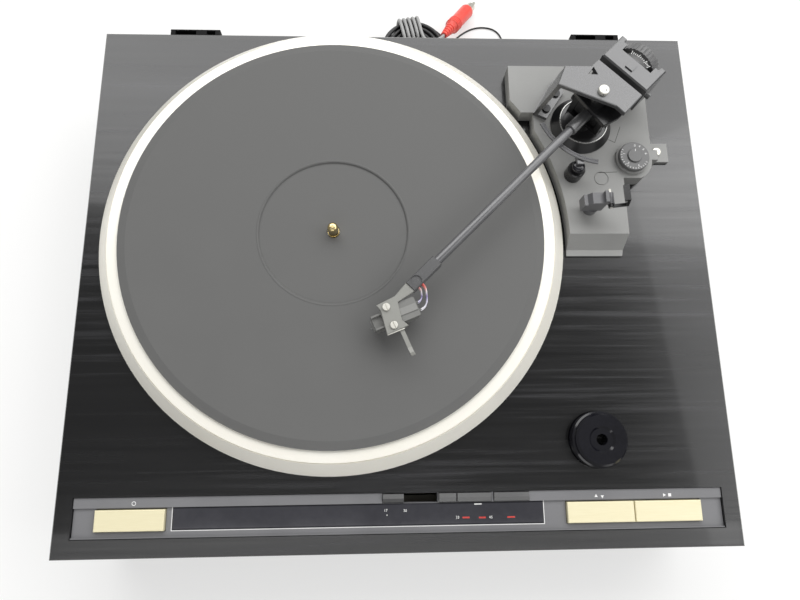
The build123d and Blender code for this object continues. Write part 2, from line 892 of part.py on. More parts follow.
with BuildPart() as top_pivot_screw:
    with BuildSketch(arm(top_point)):
        Circle(pivot_pin_radius)
    extrude(amount=frame_under - top_point)
    with BuildSketch(arm(frame_under)):
        Circle(cap_screw_radius)
    extrude(amount=frame_plate)
    with BuildSketch(arm(frame_top)):
        Circle(pivot_cap_radius)
    extrude(amount=pivot_cap_height)
    fillet(top_pivot_screw.edges().group_by(Axis.Z)[-1], 0.6)
top_pivot_screw.part.label = "top_pivot_screw"

# Turning ring: a closed frame round the arm's block, pivoted above and below
cheek_inside = block_half_width + pivot_gap
cheek_outside = cheek_inside + ring_cheek
ring_front = -5.0
ring_rear = 7.0
ring_length = ring_rear - ring_front
ring_middle = (ring_rear + ring_front) / 2

with BuildPart() as gimbal_ring:
    with BuildSketch(arm(ring_top - ring_plate)):
        Polygon(
            (-7.0, cheek_outside + 1),
            (-8.5, 5.0),
            (-12.0, -cheek_outside - 1.9),
            (0.0, -19.3),
            (9.0, -19.3),
            (9.0, cheek_outside + 1),
            align=None,
        )
    extrude(amount=ring_plate)
    chamfer(gimbal_ring.edges().group_by(Axis.Z)[-1], 0.4)
    with BuildSketch(arm(ring_top)):
        Circle(ring_boss_radius)
    extrude(amount=ring_boss_top - ring_top)
    with BuildSketch(arm(ring_boss_top)):
        Circle(pivot_pin_radius + fit)
    extrude(amount=top_point - ring_boss_top - 2 * fit, mode=Mode.SUBTRACT)
    with BuildSketch(arm(ring_bottom)):
        with Locations((ring_middle, 0)):
            Rectangle(ring_length, 2 * cheek_outside)
    extrude(amount=ring_top - ring_plate - ring_bottom)
    with BuildSketch(arm(ring_bottom + ring_plate)):
        with Locations((ring_middle, 0)):
            Rectangle(ring_length, 2 * cheek_inside)
    extrude(amount=ring_top - ring_bottom - 2 * ring_plate, mode=Mode.SUBTRACT)
    with BuildSketch(side_plane(arm(arm_height, 0, cheek_outside))):
        Circle(pivot_pin_radius + fit)
    extrude(amount=2 * cheek_outside, mode=Mode.SUBTRACT)
    with BuildSketch(arm(ring_bottom)):
        Circle(arm_shaft_radius)
    extrude(amount=arm_shaft_bottom - ring_bottom)
gimbal_ring.part.label = "gimbal_ring"

# Axes of the arm, for picking edges
arm_across = Axis(arm(arm_height).origin, arm(0).y_dir)
arm_lengthwise = Axis(arm(arm_height).origin, arm(0).x_dir)

# Side pivots: capped pins through the cheeks into the block
with BuildPart() as side_pivots:
    for side in (-1, 1):
        cheek = side_plane(arm(arm_height, 0, side * cheek_outside))
        with BuildSketch(cheek):
            Circle(pivot_cap_radius)
        extrude(amount=-side * pivot_cap_height)
        with BuildSketch(cheek):
            Circle(pivot_pin_radius)
        extrude(amount=side * (ring_cheek + pivot_gap + 3))
    pivot_rims = side_pivots.edges().filter_by(GeomType.CIRCLE).sort_by(arm_across)
    fillet([pivot_rims[0], pivot_rims[-1]], 0.6)
side_pivots.part.label = "side_pivots"

# Bearing block that tilts in the ring, with the sleeve at its front and the shaft behind
with BuildPart() as bearing_block:
    with BuildSketch(arm_section(block_front)):
        Rectangle(2 * block_half_width, 2 * block_half_height)
        Circle(sleeve_outer + fit, mode=Mode.SUBTRACT)
    extrude(amount=-block_front)
    with BuildSketch(arm_section(0)):
        Rectangle(2 * block_half_width, 2 * block_half_height)
    extrude(amount=block_rear)
    chamfer(bearing_block.edges().filter_by(GeomType.LINE).group_by(Axis.Z)[-1], 0.8)
    with BuildSketch(side_plane(arm(arm_height, 0, block_half_width))):
        Circle(pivot_pin_radius + fit)
    extrude(amount=3.2, mode=Mode.SUBTRACT)
    with BuildSketch(side_plane(arm(arm_height, 0, -block_half_width))):
        Circle(pivot_pin_radius + fit)
    extrude(amount=-3.2, mode=Mode.SUBTRACT)
    with BuildSketch(arm_section(block_rear)):
        Circle(weight_shaft_radius)
    extrude(amount=wheel_rear - 2 - block_rear)
bearing_block.part.label = "bearing_block"

with BuildPart() as arm_sleeve:
    with BuildSketch(arm_section(sleeve_front)):
        Circle(sleeve_outer)
        Circle(tube_radius + fit, mode=Mode.SUBTRACT)
    extrude(amount=-sleeve_front)
    chamfer(arm_sleeve.edges().sort_by(arm_lengthwise)[0:2], 0.4)
arm_sleeve.part.label = "arm_sleeve"

with BuildPart() as arm_tube:
    with BuildSketch(arm_section(tube_front)):
        Circle(tube_radius)
        Circle(tube_bore, mode=Mode.SUBTRACT)
    extrude(amount=-tube_front)
arm_tube.part.label = "arm_tube"

# Collar that takes the headshell: a square sleeve with a round dimple on top
collar_front = tube_front - collar_length + 2
with BuildPart() as arm_collar:
    with BuildSketch(arm_section(collar_front)):
        Rectangle(collar_width, collar_height)
    extrude(amount=collar_length)
    chamfer(arm_collar.edges().filter_by(arm_lengthwise), 0.6)
    with BuildSketch(arm_section(collar_front + collar_length)):
        Circle(tube_radius + fit)
    extrude(amount=-2 - fit, mode=Mode.SUBTRACT)
    with BuildSketch(arm(arm_height + collar_height / 2, collar_front + collar_dimple + 1.6)):
        Circle(collar_dimple)
    extrude(amount=-0.9, mode=Mode.SUBTRACT)
arm_collar.part.label = "arm_collar"

# Headshell: an open frame whose rear corner runs into the collar at the offset angle
shell_under = shell_top - shell_thickness
shell_flange_bottom = -2.0
shell_flange_width = 1.4
collar_left_corner = shell(0).to_local_coords(arm(arm_height, collar_front, 3.9).origin)
collar_right_corner = shell(0).to_local_coords(arm(arm_height, collar_front, -3.9).origin)
screw_hole = 1.4

with BuildPart() as headshell:
    with BuildSketch(shell(shell_under)):
        Polygon(
            (-5.5, 9.9),
            (-4.1, 5.7),
            (-5.7, -4.9),
            (-6.4, -10.3),
            (8.6, -10.1),
            (6.0, -5.2),
            (8.2, 6.5),
            (collar_right_corner.X, collar_right_corner.Y),
            (collar_left_corner.X, collar_left_corner.Y),
            (7.9, 10.9),
            align=None,
        )
        with GridLocations(1, shell_screw_spacing, 1, 2):
            Circle(screw_hole, mode=Mode.SUBTRACT)
    extrude(amount=shell_thickness)
    chamfer(headshell.faces().sort_by(Axis.Z)[-1].outer_wire().edges(), 0.3)
    with BuildSketch(shell(shell_flange_bottom)):
        with Locations((0.9, -10.1)):
            Rectangle(14.0, shell_flange_width, align=(Align.CENTER, Align.MIN))
    extrude(amount=shell_under - shell_flange_bottom)
headshell.part.label = "headshell"

# Cartridge: a moulded body with a lower nose, two ribs and four pins at the rear
cartridge_front = -5.0
cartridge_bottom = shell_under - cartridge_height
nose_front = -11.5
nose_top = -2.0
nose_bottom = cartridge_bottom + 1.5
nose_width = 10.8
rib_width = 1.2
pin_radius = 0.6
pin_length = 2.0
pin_side = 2.6
pin_heights = (-2.7, -7.8)

with BuildPart() as cartridge:
    with BuildSketch(shell(cartridge_bottom)):
        with Locations(((cartridge_front + cartridge_rear) / 2, 0)):
            Rectangle(cartridge_rear - cartridge_front, cartridge_width)
    extrude(amount=cartridge_height)
    chamfer(cartridge.edges().filter_by(Axis.Z), 0.8)
    with BuildSketch(shell(nose_bottom)):
        with Locations((cartridge_front, 0)):
            Rectangle(cartridge_front - nose_front, nose_width, align=(Align.MAX, Align.CENTER))
    extrude(amount=nose_top - nose_bottom)
    with BuildSketch(shell(nose_top)):
        with Locations((cartridge_front, 0)):
            with GridLocations(1, nose_width - 2 * rib_width, 1, 2):
                Rectangle(cartridge_front - nose_front, rib_width, align=(Align.MAX, Align.CENTER))
    extrude(amount=shell_under - nose_top - 0.6)
    with BuildSketch(shell(cartridge_bottom)):
        with GridLocations(1, shell_screw_spacing, 1, 2):
            Circle(screw_hole)
    extrude(amount=cartridge_height, mode=Mode.SUBTRACT)
    for height in pin_heights:
        rear_face = shell(height, cartridge_rear)
        with BuildSketch(Plane(rear_face.origin, x_dir=rear_face.y_dir, z_dir=rear_face.x_dir)):
            with GridLocations(2 * pin_side, 1, 2, 1):
                Circle(pin_radius)
        extrude(amount=pin_length)
cartridge.part.label = "cartridge"

# Stylus: a removable guard with the cantilever and its tip under the nose
guard_width = 7.0
stylus_reach = -13.1
tip_height = stylus_tip - arm_height
cantilever_root = cartridge_bottom - 1.2

with BuildPart() as stylus_assembly:
    with BuildSketch(side_plane(shell(0, 0, guard_width / 2))):
        Polygon(
            (nose_front - 0.8, nose_bottom + 2.0),
            (nose_front - 0.8, nose_bottom - 1.0),
            (cartridge_front + 4, cartridge_bottom - 1.6),
            (cartridge_front + 12, cartridge_bottom - 1.6),
            (cartridge_front + 12, cartridge_bottom),
            (cartridge_front, cartridge_bottom),
            (cartridge_front, nose_bottom),
            (nose_front, nose_bottom),
            (nose_front, nose_bottom + 2.0),
            align=None,
        )
    extrude(amount=guard_width)
    with BuildSketch(side_plane(shell(0, 0, 0.35))):
        Polygon(
            (stylus_reach - 0.4, tip_height + 1.1),
            (stylus_reach - 0.4, tip_height + 1.8),
            (cartridge_front + 4, cantilever_root),
            (cartridge_front + 6, cantilever_root),
            (cartridge_front + 6, cantilever_root - 0.7),
            align=None,
        )
    extrude(amount=0.7)
    with BuildSketch(shell(tip_height, stylus_reach)):
        Circle(0.08)
    with BuildSketch(shell(tip_height + 1.3, stylus_reach)):
        Circle(0.35)
    loft()
stylus_assembly.part.label = "stylus_assembly"

with BuildPart() as headshell_screws:
    with BuildSketch(shell(cartridge_bottom + 1)):
        with GridLocations(1, shell_screw_spacing, 1, 2):
            Circle(screw_hole - screw_clearance)
    extrude(amount=shell_top - cartridge_bottom - 1)
    with BuildSketch(shell(shell_top)):
        with GridLocations(1, shell_screw_spacing, 1, 2):
            Circle(2.45)
    extrude(amount=1.5)
    fillet(headshell_screws.edges().group_by(Axis.Z)[-1], 0.3)
    with BuildSketch(shell(shell_top + 1.5)):
        with GridLocations(1, shell_screw_spacing, 1, 2):
            Rectangle(0.7, 6)
    extrude(amount=-0.7, mode=Mode.SUBTRACT)
headshell_screws.part.label = "headshell_screws"

# Finger lift: a flat strip under the right screw, curled up at its end
lift_thickness = 0.9
lift_along = 3.6

with BuildPart() as finger_lift:
    lift_plane = shell(0, lift_along - lift_width / 2)
    with BuildSketch(Plane(lift_plane.origin, x_dir=lift_plane.y_dir, z_dir=lift_plane.x_dir)):
        Polygon(
            (-10.1, 0.0),
            (-10.1, lift_thickness),
            (-lift_reach + 6, lift_thickness + 0.4),
            (-lift_reach + 2.4, lift_thickness + 1.4),
            (-lift_reach + 0.5, lift_thickness + 3.4),
            (-lift_reach, lift_thickness + 3.0),
            (-lift_reach + 1.8, lift_thickness + 0.4),
            (-lift_reach + 6, -0.4),
            align=None,
        )
    extrude(amount=lift_width)
finger_lift.part.label = "finger_lift"

# Four leads from the side of the collar to the pins of the cartridge
lead_radius = 0.45
lead_runs = [
    (7.2, 1.9, 28.0, -pin_side, pin_heights[0]),
    (4.0, 0.9, 25.4, pin_side, pin_heights[0]),
    (4.0, -1.4, 25.4, pin_side, pin_heights[1]),
    (7.2, -2.0, 28.0, -pin_side, pin_heights[1]),
]

with BuildPart() as cartridge_leads:
    for back, level, bow, pin_left, pin_height in lead_runs:
        exit_spot = arm(arm_height + level, collar_front + back, -collar_width / 2)
        entry = shell(pin_height, cartridge_rear + pin_length, pin_left)
        middle = shell((level + pin_height) / 2, bow, (pin_left + 9.9) / 2 + 1.0)
        with BuildLine() as lead_route:
            Spline(
                exit_spot.origin,
                middle.origin,
                entry.origin,
                tangents=(-exit_spot.y_dir, -entry.x_dir),
            )
        with BuildSketch(Plane(lead_route.line @ 0, z_dir=lead_route.line % 0)):
            Circle(lead_radius)
        sweep(path=lead_route.line)
cartridge_leads.part.label = "cartridge_leads"

# Rear weight: a squared block notched for the force dial, on the arm's rear shaft
weight_length = weight_rear - weight_front
weight_middle_height = arm_height + (weight_up - weight_down) / 2
weight_height = weight_up + weight_down
tongue_height = 1.0
weight_pin_radius = 2.2
weight_pin_reach = 3.2

with BuildPart() as weight_block:
    with BuildSketch(arm_section(weight_front, weight_middle_height)):
        Rectangle(2 * weight_half_width, weight_height)
    extrude(amount=weight_length)
    chamfer(weight_block.edges().group_by(Axis.Z)[-1], 1.0)
    chamfer(weight_block.edges().group_by(Axis.Z)[0], 1.0)
    with BuildSketch(arm_section(drum_front - dial_gap, weight_middle_height)):
        Rectangle(2 * (drum_radius + dial_gap), weight_height)
    extrude(amount=weight_rear - drum_front + dial_gap, mode=Mode.SUBTRACT)
    with BuildSketch(arm_section(drum_front + drum_length + 0.5, weight_middle_height)):
        Rectangle(2 * (wheel_radius + dial_gap), weight_height)
    extrude(amount=weight_rear - drum_front - drum_length, mode=Mode.SUBTRACT)
    with BuildSketch(arm_section(weight_front)):
        Circle(weight_shaft_radius + fit)
    extrude(amount=weight_length, mode=Mode.SUBTRACT)
    with BuildSketch(arm(arm_height + weight_up)):
        Polygon(
            (weight_front + 4, 3.0),
            (weight_front + 4, -3.0),
            (drum_front - 4, -3.0),
            (drum_front - 1.6, 0.0),
            (drum_front - 4, 3.0),
            align=None,
        )
    extrude(amount=tongue_height)
    with BuildSketch(side_plane(arm(arm_height, weight_front + 8, -weight_half_width))):
        Circle(weight_pin_radius)
    extrude(amount=weight_pin_reach)
weight_block.part.label = "weight_block"

# Force dial: a numbered drum and a fluted wheel in one piece
with BuildPart() as force_dial:
    with BuildSketch(arm_section(drum_front)):
        Circle(drum_radius)
    extrude(amount=drum_length)
    with BuildSketch(arm_section(drum_front + drum_length)):
        Circle(drum_radius - 1.2)
    extrude(amount=0.9)
    with BuildSketch(arm_section(drum_front + drum_length + 0.9)):
        Circle(wheel_radius)
        with PolarLocations(wheel_radius, wheel_flutes):
            Circle(flute_radius, mode=Mode.SUBTRACT)
    extrude(amount=wheel_rear - drum_front - drum_length - 0.9)
    with BuildSketch(arm_section(drum_front)):
        Circle(weight_shaft_radius + fit)
    extrude(amount=wheel_rear - 1.6 - drum_front, mode=Mode.SUBTRACT)
force_dial.part.label = "force_dial"

# Cue lifter: a damped cylinder, and a rod that carries a curved bar under the tube
cue_bar_top = arm_height - tube_radius - cue_gap
dome_bottom = lifter_top + 0.8
web_top = cue_bar_top - cue_bar_height
rod_bottom = base_height + 2.0

with BuildPart() as cue_cylinder:
    with BuildSketch(deck(base_height, lifter_x, lifter_y)):
        Circle(lifter_radius)
    extrude(amount=lifter_top - base_height)
    chamfer(cue_cylinder.edges().group_by(Axis.Z)[-1], 0.6)
    with BuildSketch(deck(lifter_top, lifter_x, lifter_y)):
        Circle(rod_radius + fit)
    extrude(amount=rod_bottom - lifter_top, mode=Mode.SUBTRACT)
cue_cylinder.part.label = "cue_cylinder"

with BuildPart() as cue_lifter:
    with BuildSketch(deck(rod_bottom + 1.0, lifter_x, lifter_y)):
        Circle(rod_radius)
    extrude(amount=dome_bottom - rod_bottom - 1.0)
    with BuildSketch(deck(dome_bottom, lifter_x, lifter_y)):
        Circle(dome_radius)
    extrude(amount=dome_height)
    fillet(cue_lifter.edges().group_by(Axis.Z)[-1], 2.0)
    with BuildSketch(deck(dome_bottom + dome_height / 2, lifter_x, lifter_y)):
        Rectangle(dome_radius, 8.0, align=(Align.CENTER, Align.MIN))
    extrude(amount=web_top - dome_bottom - dome_height / 2)
    with BuildLine(deck(web_top)) as bar_curve:
        ThreePointArc(cue_left, cue_middle, cue_right)
    with BuildSketch(deck(web_top)):
        trace(bar_curve.line, line_width=cue_bar_width)
    extrude(amount=cue_bar_height)
cue_lifter.part.label = "cue_lifter"

# Arm rest: a post with a shaped cradle for the parked tube
rest_post_top = 18.0
cradle_floor = arm_height - tube_radius - 1.0
cradle_right = tube_radius + cradle_gap
rest_pin_left = -8.6
rest_pin_height = 30.0
clip_open = 75.0

with BuildPart() as arm_rest:
    with BuildSketch(parked(base_height)):
        Circle(rest_post_radius)
    extrude(amount=rest_post_top - base_height)
    rest_face = parked(0, -cradle_depth / 2)
    with BuildSketch(Plane(rest_face.origin, x_dir=rest_face.y_dir, z_dir=rest_face.x_dir)):
        Polygon(
            (-cradle_right - cradle_wall, rest_post_top),
            (cradle_left, rest_post_top),
            (cradle_left, 28.5),
            (6.5, 28.5),
            (4.2, cradle_floor),
            (-cradle_right, cradle_floor),
            (-cradle_right, cradle_floor + cradle_rise),
            (-cradle_right - cradle_wall, cradle_floor + cradle_rise),
            align=None,
        )
        with Locations((rest_pin_left, rest_pin_height)):
            Circle(clip_thickness + 0.4)
        with Locations((rest_pin_left, rest_pin_height)):
            Rectangle(4.0, 2.4, align=(Align.MIN, Align.CENTER))
        with Locations((rest_pin_left, rest_pin_height)):
            Circle(clip_pin_radius + fit, mode=Mode.SUBTRACT)
    extrude(amount=cradle_depth)
arm_rest.part.label = "arm_rest"

with BuildPart() as clip_pin:
    pin_face = parked(0, -cradle_depth / 2 - clip_thickness - 0.8)
    with BuildSketch(Plane(pin_face.origin, x_dir=pin_face.y_dir, z_dir=pin_face.x_dir)):
        with Locations((rest_pin_left, rest_pin_height)):
            Circle(clip_pin_radius)
    extrude(amount=cradle_depth + 2 * (clip_thickness + 0.8))
clip_pin.part.label = "clip_pin"

# Clip over the parked tube, modelled swung open to the right on its pin
clip_height = 11.5
clip_reach = 12.6
clip_rest_gap = 0.5
clip_hinge = Axis(parked(rest_pin_height, 0, rest_pin_left).origin, parked(0).x_dir)

with BuildPart() as rest_clip:
    clip_along = -cradle_depth / 2 - clip_rest_gap - clip_thickness
    clip_face = parked(rest_pin_height, clip_along, rest_pin_left)
    with BuildSketch(Plane(clip_face.origin, x_dir=clip_face.y_dir, z_dir=clip_face.x_dir)):
        Circle(clip_thickness)
        Rectangle(clip_thickness, clip_height, align=(Align.CENTER, Align.MIN))
        Circle(clip_pin_radius + fit, mode=Mode.SUBTRACT)
    extrude(amount=clip_thickness)
    with BuildSketch(Plane(clip_face.origin, x_dir=clip_face.y_dir, z_dir=clip_face.x_dir)):
        with Locations((-clip_thickness / 2, clip_height - clip_thickness)):
            Rectangle(clip_reach, clip_thickness, align=(Align.MIN, Align.MIN))
        with Locations((clip_reach - clip_thickness * 1.5, clip_height - 2 * clip_thickness)):
            Rectangle(clip_thickness, clip_thickness, align=(Align.MIN, Align.MIN))
    extrude(amount=cradle_depth + 2 * clip_rest_gap + clip_thickness)
rest_clip_part = rest_clip.part.rotate(clip_hinge, clip_open)
rest_clip_part.label = "rest_clip"

# Arm drive under the deck, with a shutter on the arm's shaft and its sensor board
drive_height = 14.0
drive_bottom = deck_under - drive_height
drive_left = -30.0
drive_right = 45.0
drive_depth = 44.0
drive_motor_x = 31.0
drive_motor_radius = 12.0
drive_motor_height = 14.0
shutter_top = drive_bottom - 4.0
shutter_radius = 16.0
shutter_thickness = 1.2
sensor_board_top = arm_shaft_bottom - 4.4
post_x = -24.0
sensor_gap = 1.0

with BuildPart() as arm_drive_unit:
    with BuildSketch(deck(drive_bottom, pivot_x, pivot_y)):
        with Locations(((drive_left + drive_right) / 2, 0)):
            RectangleRounded(drive_right - drive_left, drive_depth, 4)
        Circle(arm_shaft_radius + 1.0, mode=Mode.SUBTRACT)
    extrude(amount=drive_height)
    with BuildSketch(deck(drive_bottom, pivot_x + drive_motor_x, pivot_y)):
        Circle(drive_motor_radius)
    extrude(amount=-drive_motor_height)
    with BuildSketch(deck(drive_bottom, pivot_x + post_x, pivot_y)):
        with GridLocations(1, 20, 1, 2):
            Circle(screw_radius + 0.6)
    extrude(amount=sensor_board_top - drive_bottom)
arm_drive_unit.part.label = "arm_drive_unit"

with BuildPart() as shutter_disc:
    with BuildSketch(arm(shutter_top)):
        Circle(shutter_radius)
        Circle(arm_shaft_radius + fit, mode=Mode.SUBTRACT)
        with PolarLocations(shutter_radius - 2.5, 16):
            Rectangle(3.0, 1.4, mode=Mode.SUBTRACT)
    extrude(amount=-shutter_thickness)
shutter_disc.part.label = "shutter_disc"

# Sockets for the lid's hinges on the rear wall, open at the top
socket_width = 38.0
socket_height = 28.5
socket_top = -1.5
socket_hole_depth = 22.0
long_hole = 16.0
short_hole = 6.7
hole_depth = 3.4
long_hole_x = -7.4
short_hole_x = 12.0
socket_left_x = -157.6
socket_right_x = 157.9

with BuildPart() as hinge_sockets:
    for x in (socket_left_x, socket_right_x):
        with BuildSketch(deck(socket_top, x, plinth_depth / 2)):
            Rectangle(socket_width, hinge_reach, align=(Align.CENTER, Align.MIN))
        extrude(amount=-socket_height)
        with BuildSketch(deck(socket_top, x, plinth_depth / 2 + hinge_reach / 2)):
            with Locations((long_hole_x, 0)):
                Rectangle(long_hole, hole_depth)
            with Locations((short_hole_x, 0)):
                Rectangle(short_hole, hole_depth)
        extrude(amount=-socket_hole_depth, mode=Mode.SUBTRACT)
hinge_sockets.part.label = "hinge_sockets"

# Boards: the main one on standoffs, the switches' one on rails, the arm's one on posts
cover_top = -cabinet_height
board_x = 40.0
board_y = -60.0
board_width = 180.0
board_depth = 110.0
standoff_height = 8.0
standoff_radius = 3.5
board_top = cover_top + standoff_height + board_thickness

with BuildPart() as circuit_boards:
    with BuildSketch(deck(cover_top, board_x, board_y)):
        with GridLocations(board_width - 14, board_depth - 14, 2, 2):
            Circle(standoff_radius)
    extrude(amount=standoff_height)
    with BuildSketch(deck(cover_top + standoff_height, board_x, board_y)):
        Rectangle(board_width, board_depth)
    extrude(amount=board_thickness)
    with BuildSketch(deck(board_top, board_x, board_y)):
        with Locations((-60, 25), (-60, -5), (-34, 25)):
            Circle(8.0)
    extrude(amount=20.0)
    with BuildSketch(deck(board_top, board_x, board_y)):
        with Locations((45, 30)):
            Rectangle(60, 12)
        with Locations((5, -20), (45, -20)):
            Rectangle(26, 12)
    extrude(amount=7.0)
    with BuildSketch(deck(switch_board_top, 0, switch_board_y)):
        Rectangle(switch_board_width, switch_board_depth)
    extrude(amount=-board_thickness)
    for spot in rail_spots:
        with BuildSketch(deck(switch_board_top, *spot)):
            Rectangle(rail_width, switch_board_depth - 2)
        extrude(amount=panel_under - switch_board_top)
    with BuildSketch(deck(sensor_board_top, pivot_x, pivot_y)):
        with Locations((post_x / 2 - 2, 0)):
            Rectangle(-post_x + 10, 30)
    extrude(amount=-board_thickness)
    with BuildSketch(deck(sensor_board_top, pivot_x, pivot_y)):
        with Locations((-shutter_radius + 3, 0)):
            Rectangle(5, 9)
    extrude(amount=shutter_top - shutter_thickness - sensor_gap - sensor_board_top)
circuit_boards.part.label = "circuit_boards"

# Mains transformer on the bottom cover
core_width = 66.0
core_depth = 34.0
core_height = 50.0
coil_side = 8.0
coil_width = 42.0

with BuildPart() as transformer:
    with BuildSketch(deck(cover_top, transformer_x, transformer_y)):
        Rectangle(core_width + 20, core_depth * 0.5)
    extrude(amount=2.0)
    with BuildSketch(deck(cover_top, transformer_x, transformer_y)):
        Rectangle(core_width, core_depth)
    extrude(amount=core_height)
    with BuildSketch(deck(cover_top + 8, transformer_x, transformer_y)):
        RectangleRounded(coil_width, core_depth + 2 * coil_side, 5)
    extrude(amount=core_height - 16)
transformer.part.label = "transformer"

# Cords lie on the table behind the player: places behind the rear wall, heights over the table
mains_diameter = 4.0
mains_pitch = 4.5
coil_layer_pitch = 4.45
coil_x = 20.0
coil_y = 43.0
coil_inner = 16.2
coil_front_turns = 2
coil_layers = 4
signal_diameter = 3.2
lash_turns = 5
lash_pitch = 4.2
lash_corner = 4.2
lash_angle = 101.0
lash_above = 11.4
lash_below = 10.9
lash_near = (21.4, 13.5)
lash_far = (20.8, 12.7)
lash_shift = 2.4
ground_diameter = 1.6
gland_height = 21.8
mains_tail = 30.0
rear_wall = plinth_depth / 2
coil_middle = signal_diameter / 2 + fit + lash_below
coil_top_layer = coil_middle + coil_layer_pitch * (coil_layers - 1) / 2
coil_low_layer = coil_middle - coil_layer_pitch * (coil_layers - 1) / 2


def spot(x, back, height):
    """Point behind the rear wall, at a height over the table."""
    return Vector(x, plinth_y + rear_wall + back, height)


def coil_ends():
    """Ends of the coil's half turns: how far to the right, and the layer they lie in."""
    radii = [coil_inner + mains_pitch * step for step in range(coil_front_turns + 2)]
    ends = [(-radii[-1], 0)]
    for layer in range(coil_layers):
        order = radii[::-1] if layer % 2 == 0 else radii
        for radius in order[1:-1]:
            ends += [(radius, layer), (-radius, layer)]
        ends += [(order[-1], layer), (-order[-1], layer + 1)]
    return ends[:-1]


def coil_arcs():
    """Half turns of the coil as start, middle and end, at the rear and the front in turn."""
    arcs = []
    ends = coil_ends()
    for step, (start, end) in enumerate(zip(ends, ends[1:])):
        side = 1 if step % 2 == 0 else -1
        high = coil_top_layer - coil_layer_pitch * start[1]
        low = coil_top_layer - coil_layer_pitch * end[1]
        reach = math.hypot((start[0] - end[0]) / 2, (high - low) / 2)
        arcs.append(
            (
                spot(coil_x + start[0], coil_y, high),
                spot(coil_x + (start[0] + end[0]) / 2, coil_y + side * reach, (high + low) / 2),
                spot(coil_x + end[0], coil_y, low),
            )
        )
    return arcs


def fillets(route):
    """Radius at each corner of a route, as large as its two runs allow."""
    runs = [after - before for before, after in zip(route, route[1:])]
    radii = []
    for first, second in zip(runs, runs[1:]):
        half_turn = math.radians(first.get_angle(second) / 2)
        radii.append(0.45 * min(first.length, second.length) / math.tan(half_turn))
    return radii


def print_cord(name, wire, solid, diameter):
    """Print a cord's length, its least gap to itself and how its volume compares."""
    count = int(wire.length)
    points = [tuple(wire @ (step / count)) for step in range(count + 1)]
    apart = int(6 * diameter)
    least = min(
        math.dist(point, other)
        for index, point in enumerate(points)
        for other in points[index + apart:]
    )
    full = wire.length * math.pi * diameter**2 / 4
    print(name, "length", round(wire.length), "least gap", round(least - diameter, 2))
    print(name, "volume over section times length", round(solid.volume / full, 4))


# Mains cord: out of its gland, wound into a coil of four layers, and a straight tail
coil_route = coil_arcs()
mains_x = coil_x + coil_ends()[0][0]
tail_radius = coil_ends()[-1][0]
tail_slant = tail_radius * math.sqrt(0.5)
mains_exit = [
    spot(mains_x, 0, gland_height),
    spot(mains_x, 20, gland_height),
    spot(mains_x, coil_y - 13, coil_top_layer),
    spot(mains_x, coil_y, coil_top_layer),
]

with BuildPart() as mains_cord:
    with BuildLine() as mains_line:
        FilletPolyline(*mains_exit, radius=fillets(mains_exit))
        for points in coil_route:
            ThreePointArc(*points)
        ThreePointArc(
            spot(coil_x + tail_radius, coil_y, coil_low_layer),
            spot(coil_x + tail_slant, coil_y - tail_slant, coil_low_layer),
            spot(coil_x, coil_y - tail_radius, coil_low_layer),
        )
        Line(
            spot(coil_x, coil_y - tail_radius, coil_low_layer),
            spot(coil_x - mains_tail, coil_y - tail_radius, coil_low_layer),
        )
    with BuildSketch(Plane(mains_exit[0], z_dir=(0, 1, 0))):
        Circle(mains_diameter / 2)
    sweep(path=mains_line.wire())
mains_cord.part.label = "mains_cord"
print("mains exit radii", [round(radius) for radius in fillets(mains_exit)])
print_cord("mains cord", mains_line.wire(), mains_cord.part, mains_diameter)

# Mains plug: a flat two-bladed plug that lies on the table
plug_length = 22.0
plug_neck = 10.0
plug_width = 22.0
plug_neck_width = 11.0
plug_height = 2 * coil_low_layer
plug_neck_height = 8.0
plug_rounding = 2.5
blade_spacing = 12.7
blade_length = 17.0
blade_width = 6.3
blade_thickness = 1.5
mains_end = spot(coil_x - mains_tail, coil_y - tail_radius, coil_low_layer)


def plug_section(along):
    """Upright plane across the mains plug, facing its blades."""
    return Plane(mains_end - Vector(along, 0, 0), x_dir=(0, 1, 0), z_dir=(-1, 0, 0))


with BuildPart() as mains_plug:
    with BuildSketch(plug_section(0)):
        RectangleRounded(plug_neck_width, plug_neck_height, plug_rounding)
    with BuildSketch(plug_section(plug_neck)):
        RectangleRounded(plug_width, plug_height, plug_rounding)
    loft()
    with BuildSketch(plug_section(plug_neck)):
        RectangleRounded(plug_width, plug_height, plug_rounding)
    extrude(amount=plug_length - plug_neck)
    with BuildSketch(plug_section(plug_length)):
        with GridLocations(blade_spacing, 1, 2, 1):
            Rectangle(blade_thickness, blade_width)
    extrude(amount=blade_length)
mains_plug.part.label = "mains_plug"


# Signal lead: over the coil, five turns round it on each side, and back to its plug
def lash_turn(section, turn, far_side):
    """One turn round the coil's section: over the top first, or under it on the far side."""
    angle = lash_angle if far_side else lash_angle + 180
    shift = 0 if far_side else lash_shift
    middle, half = section
    flat = half - lash_corner
    above = lash_above - lash_corner
    below = lash_below - lash_corner
    loop = [
        (-flat, lash_above),
        (flat, lash_above),
        (half, above),
        (half, -below),
        (flat, -lash_below),
        (-flat, -lash_below),
        (-half, -below),
        (-half, above),
    ]
    if far_side:
        loop = loop[4::-1] + loop[:4:-1]
    cosine = math.cos(math.radians(angle))
    sine = math.sin(math.radians(angle))
    points = []
    for step, (out, up) in enumerate(loop):
        side = lash_pitch * (lash_turns / 2 - turn - step / len(loop)) - shift
        radius = middle + out
        x = coil_x + radius * cosine - side * sine
        y = coil_y + radius * sine + side * cosine
        points.append(spot(x, y, coil_middle + up))
    return points


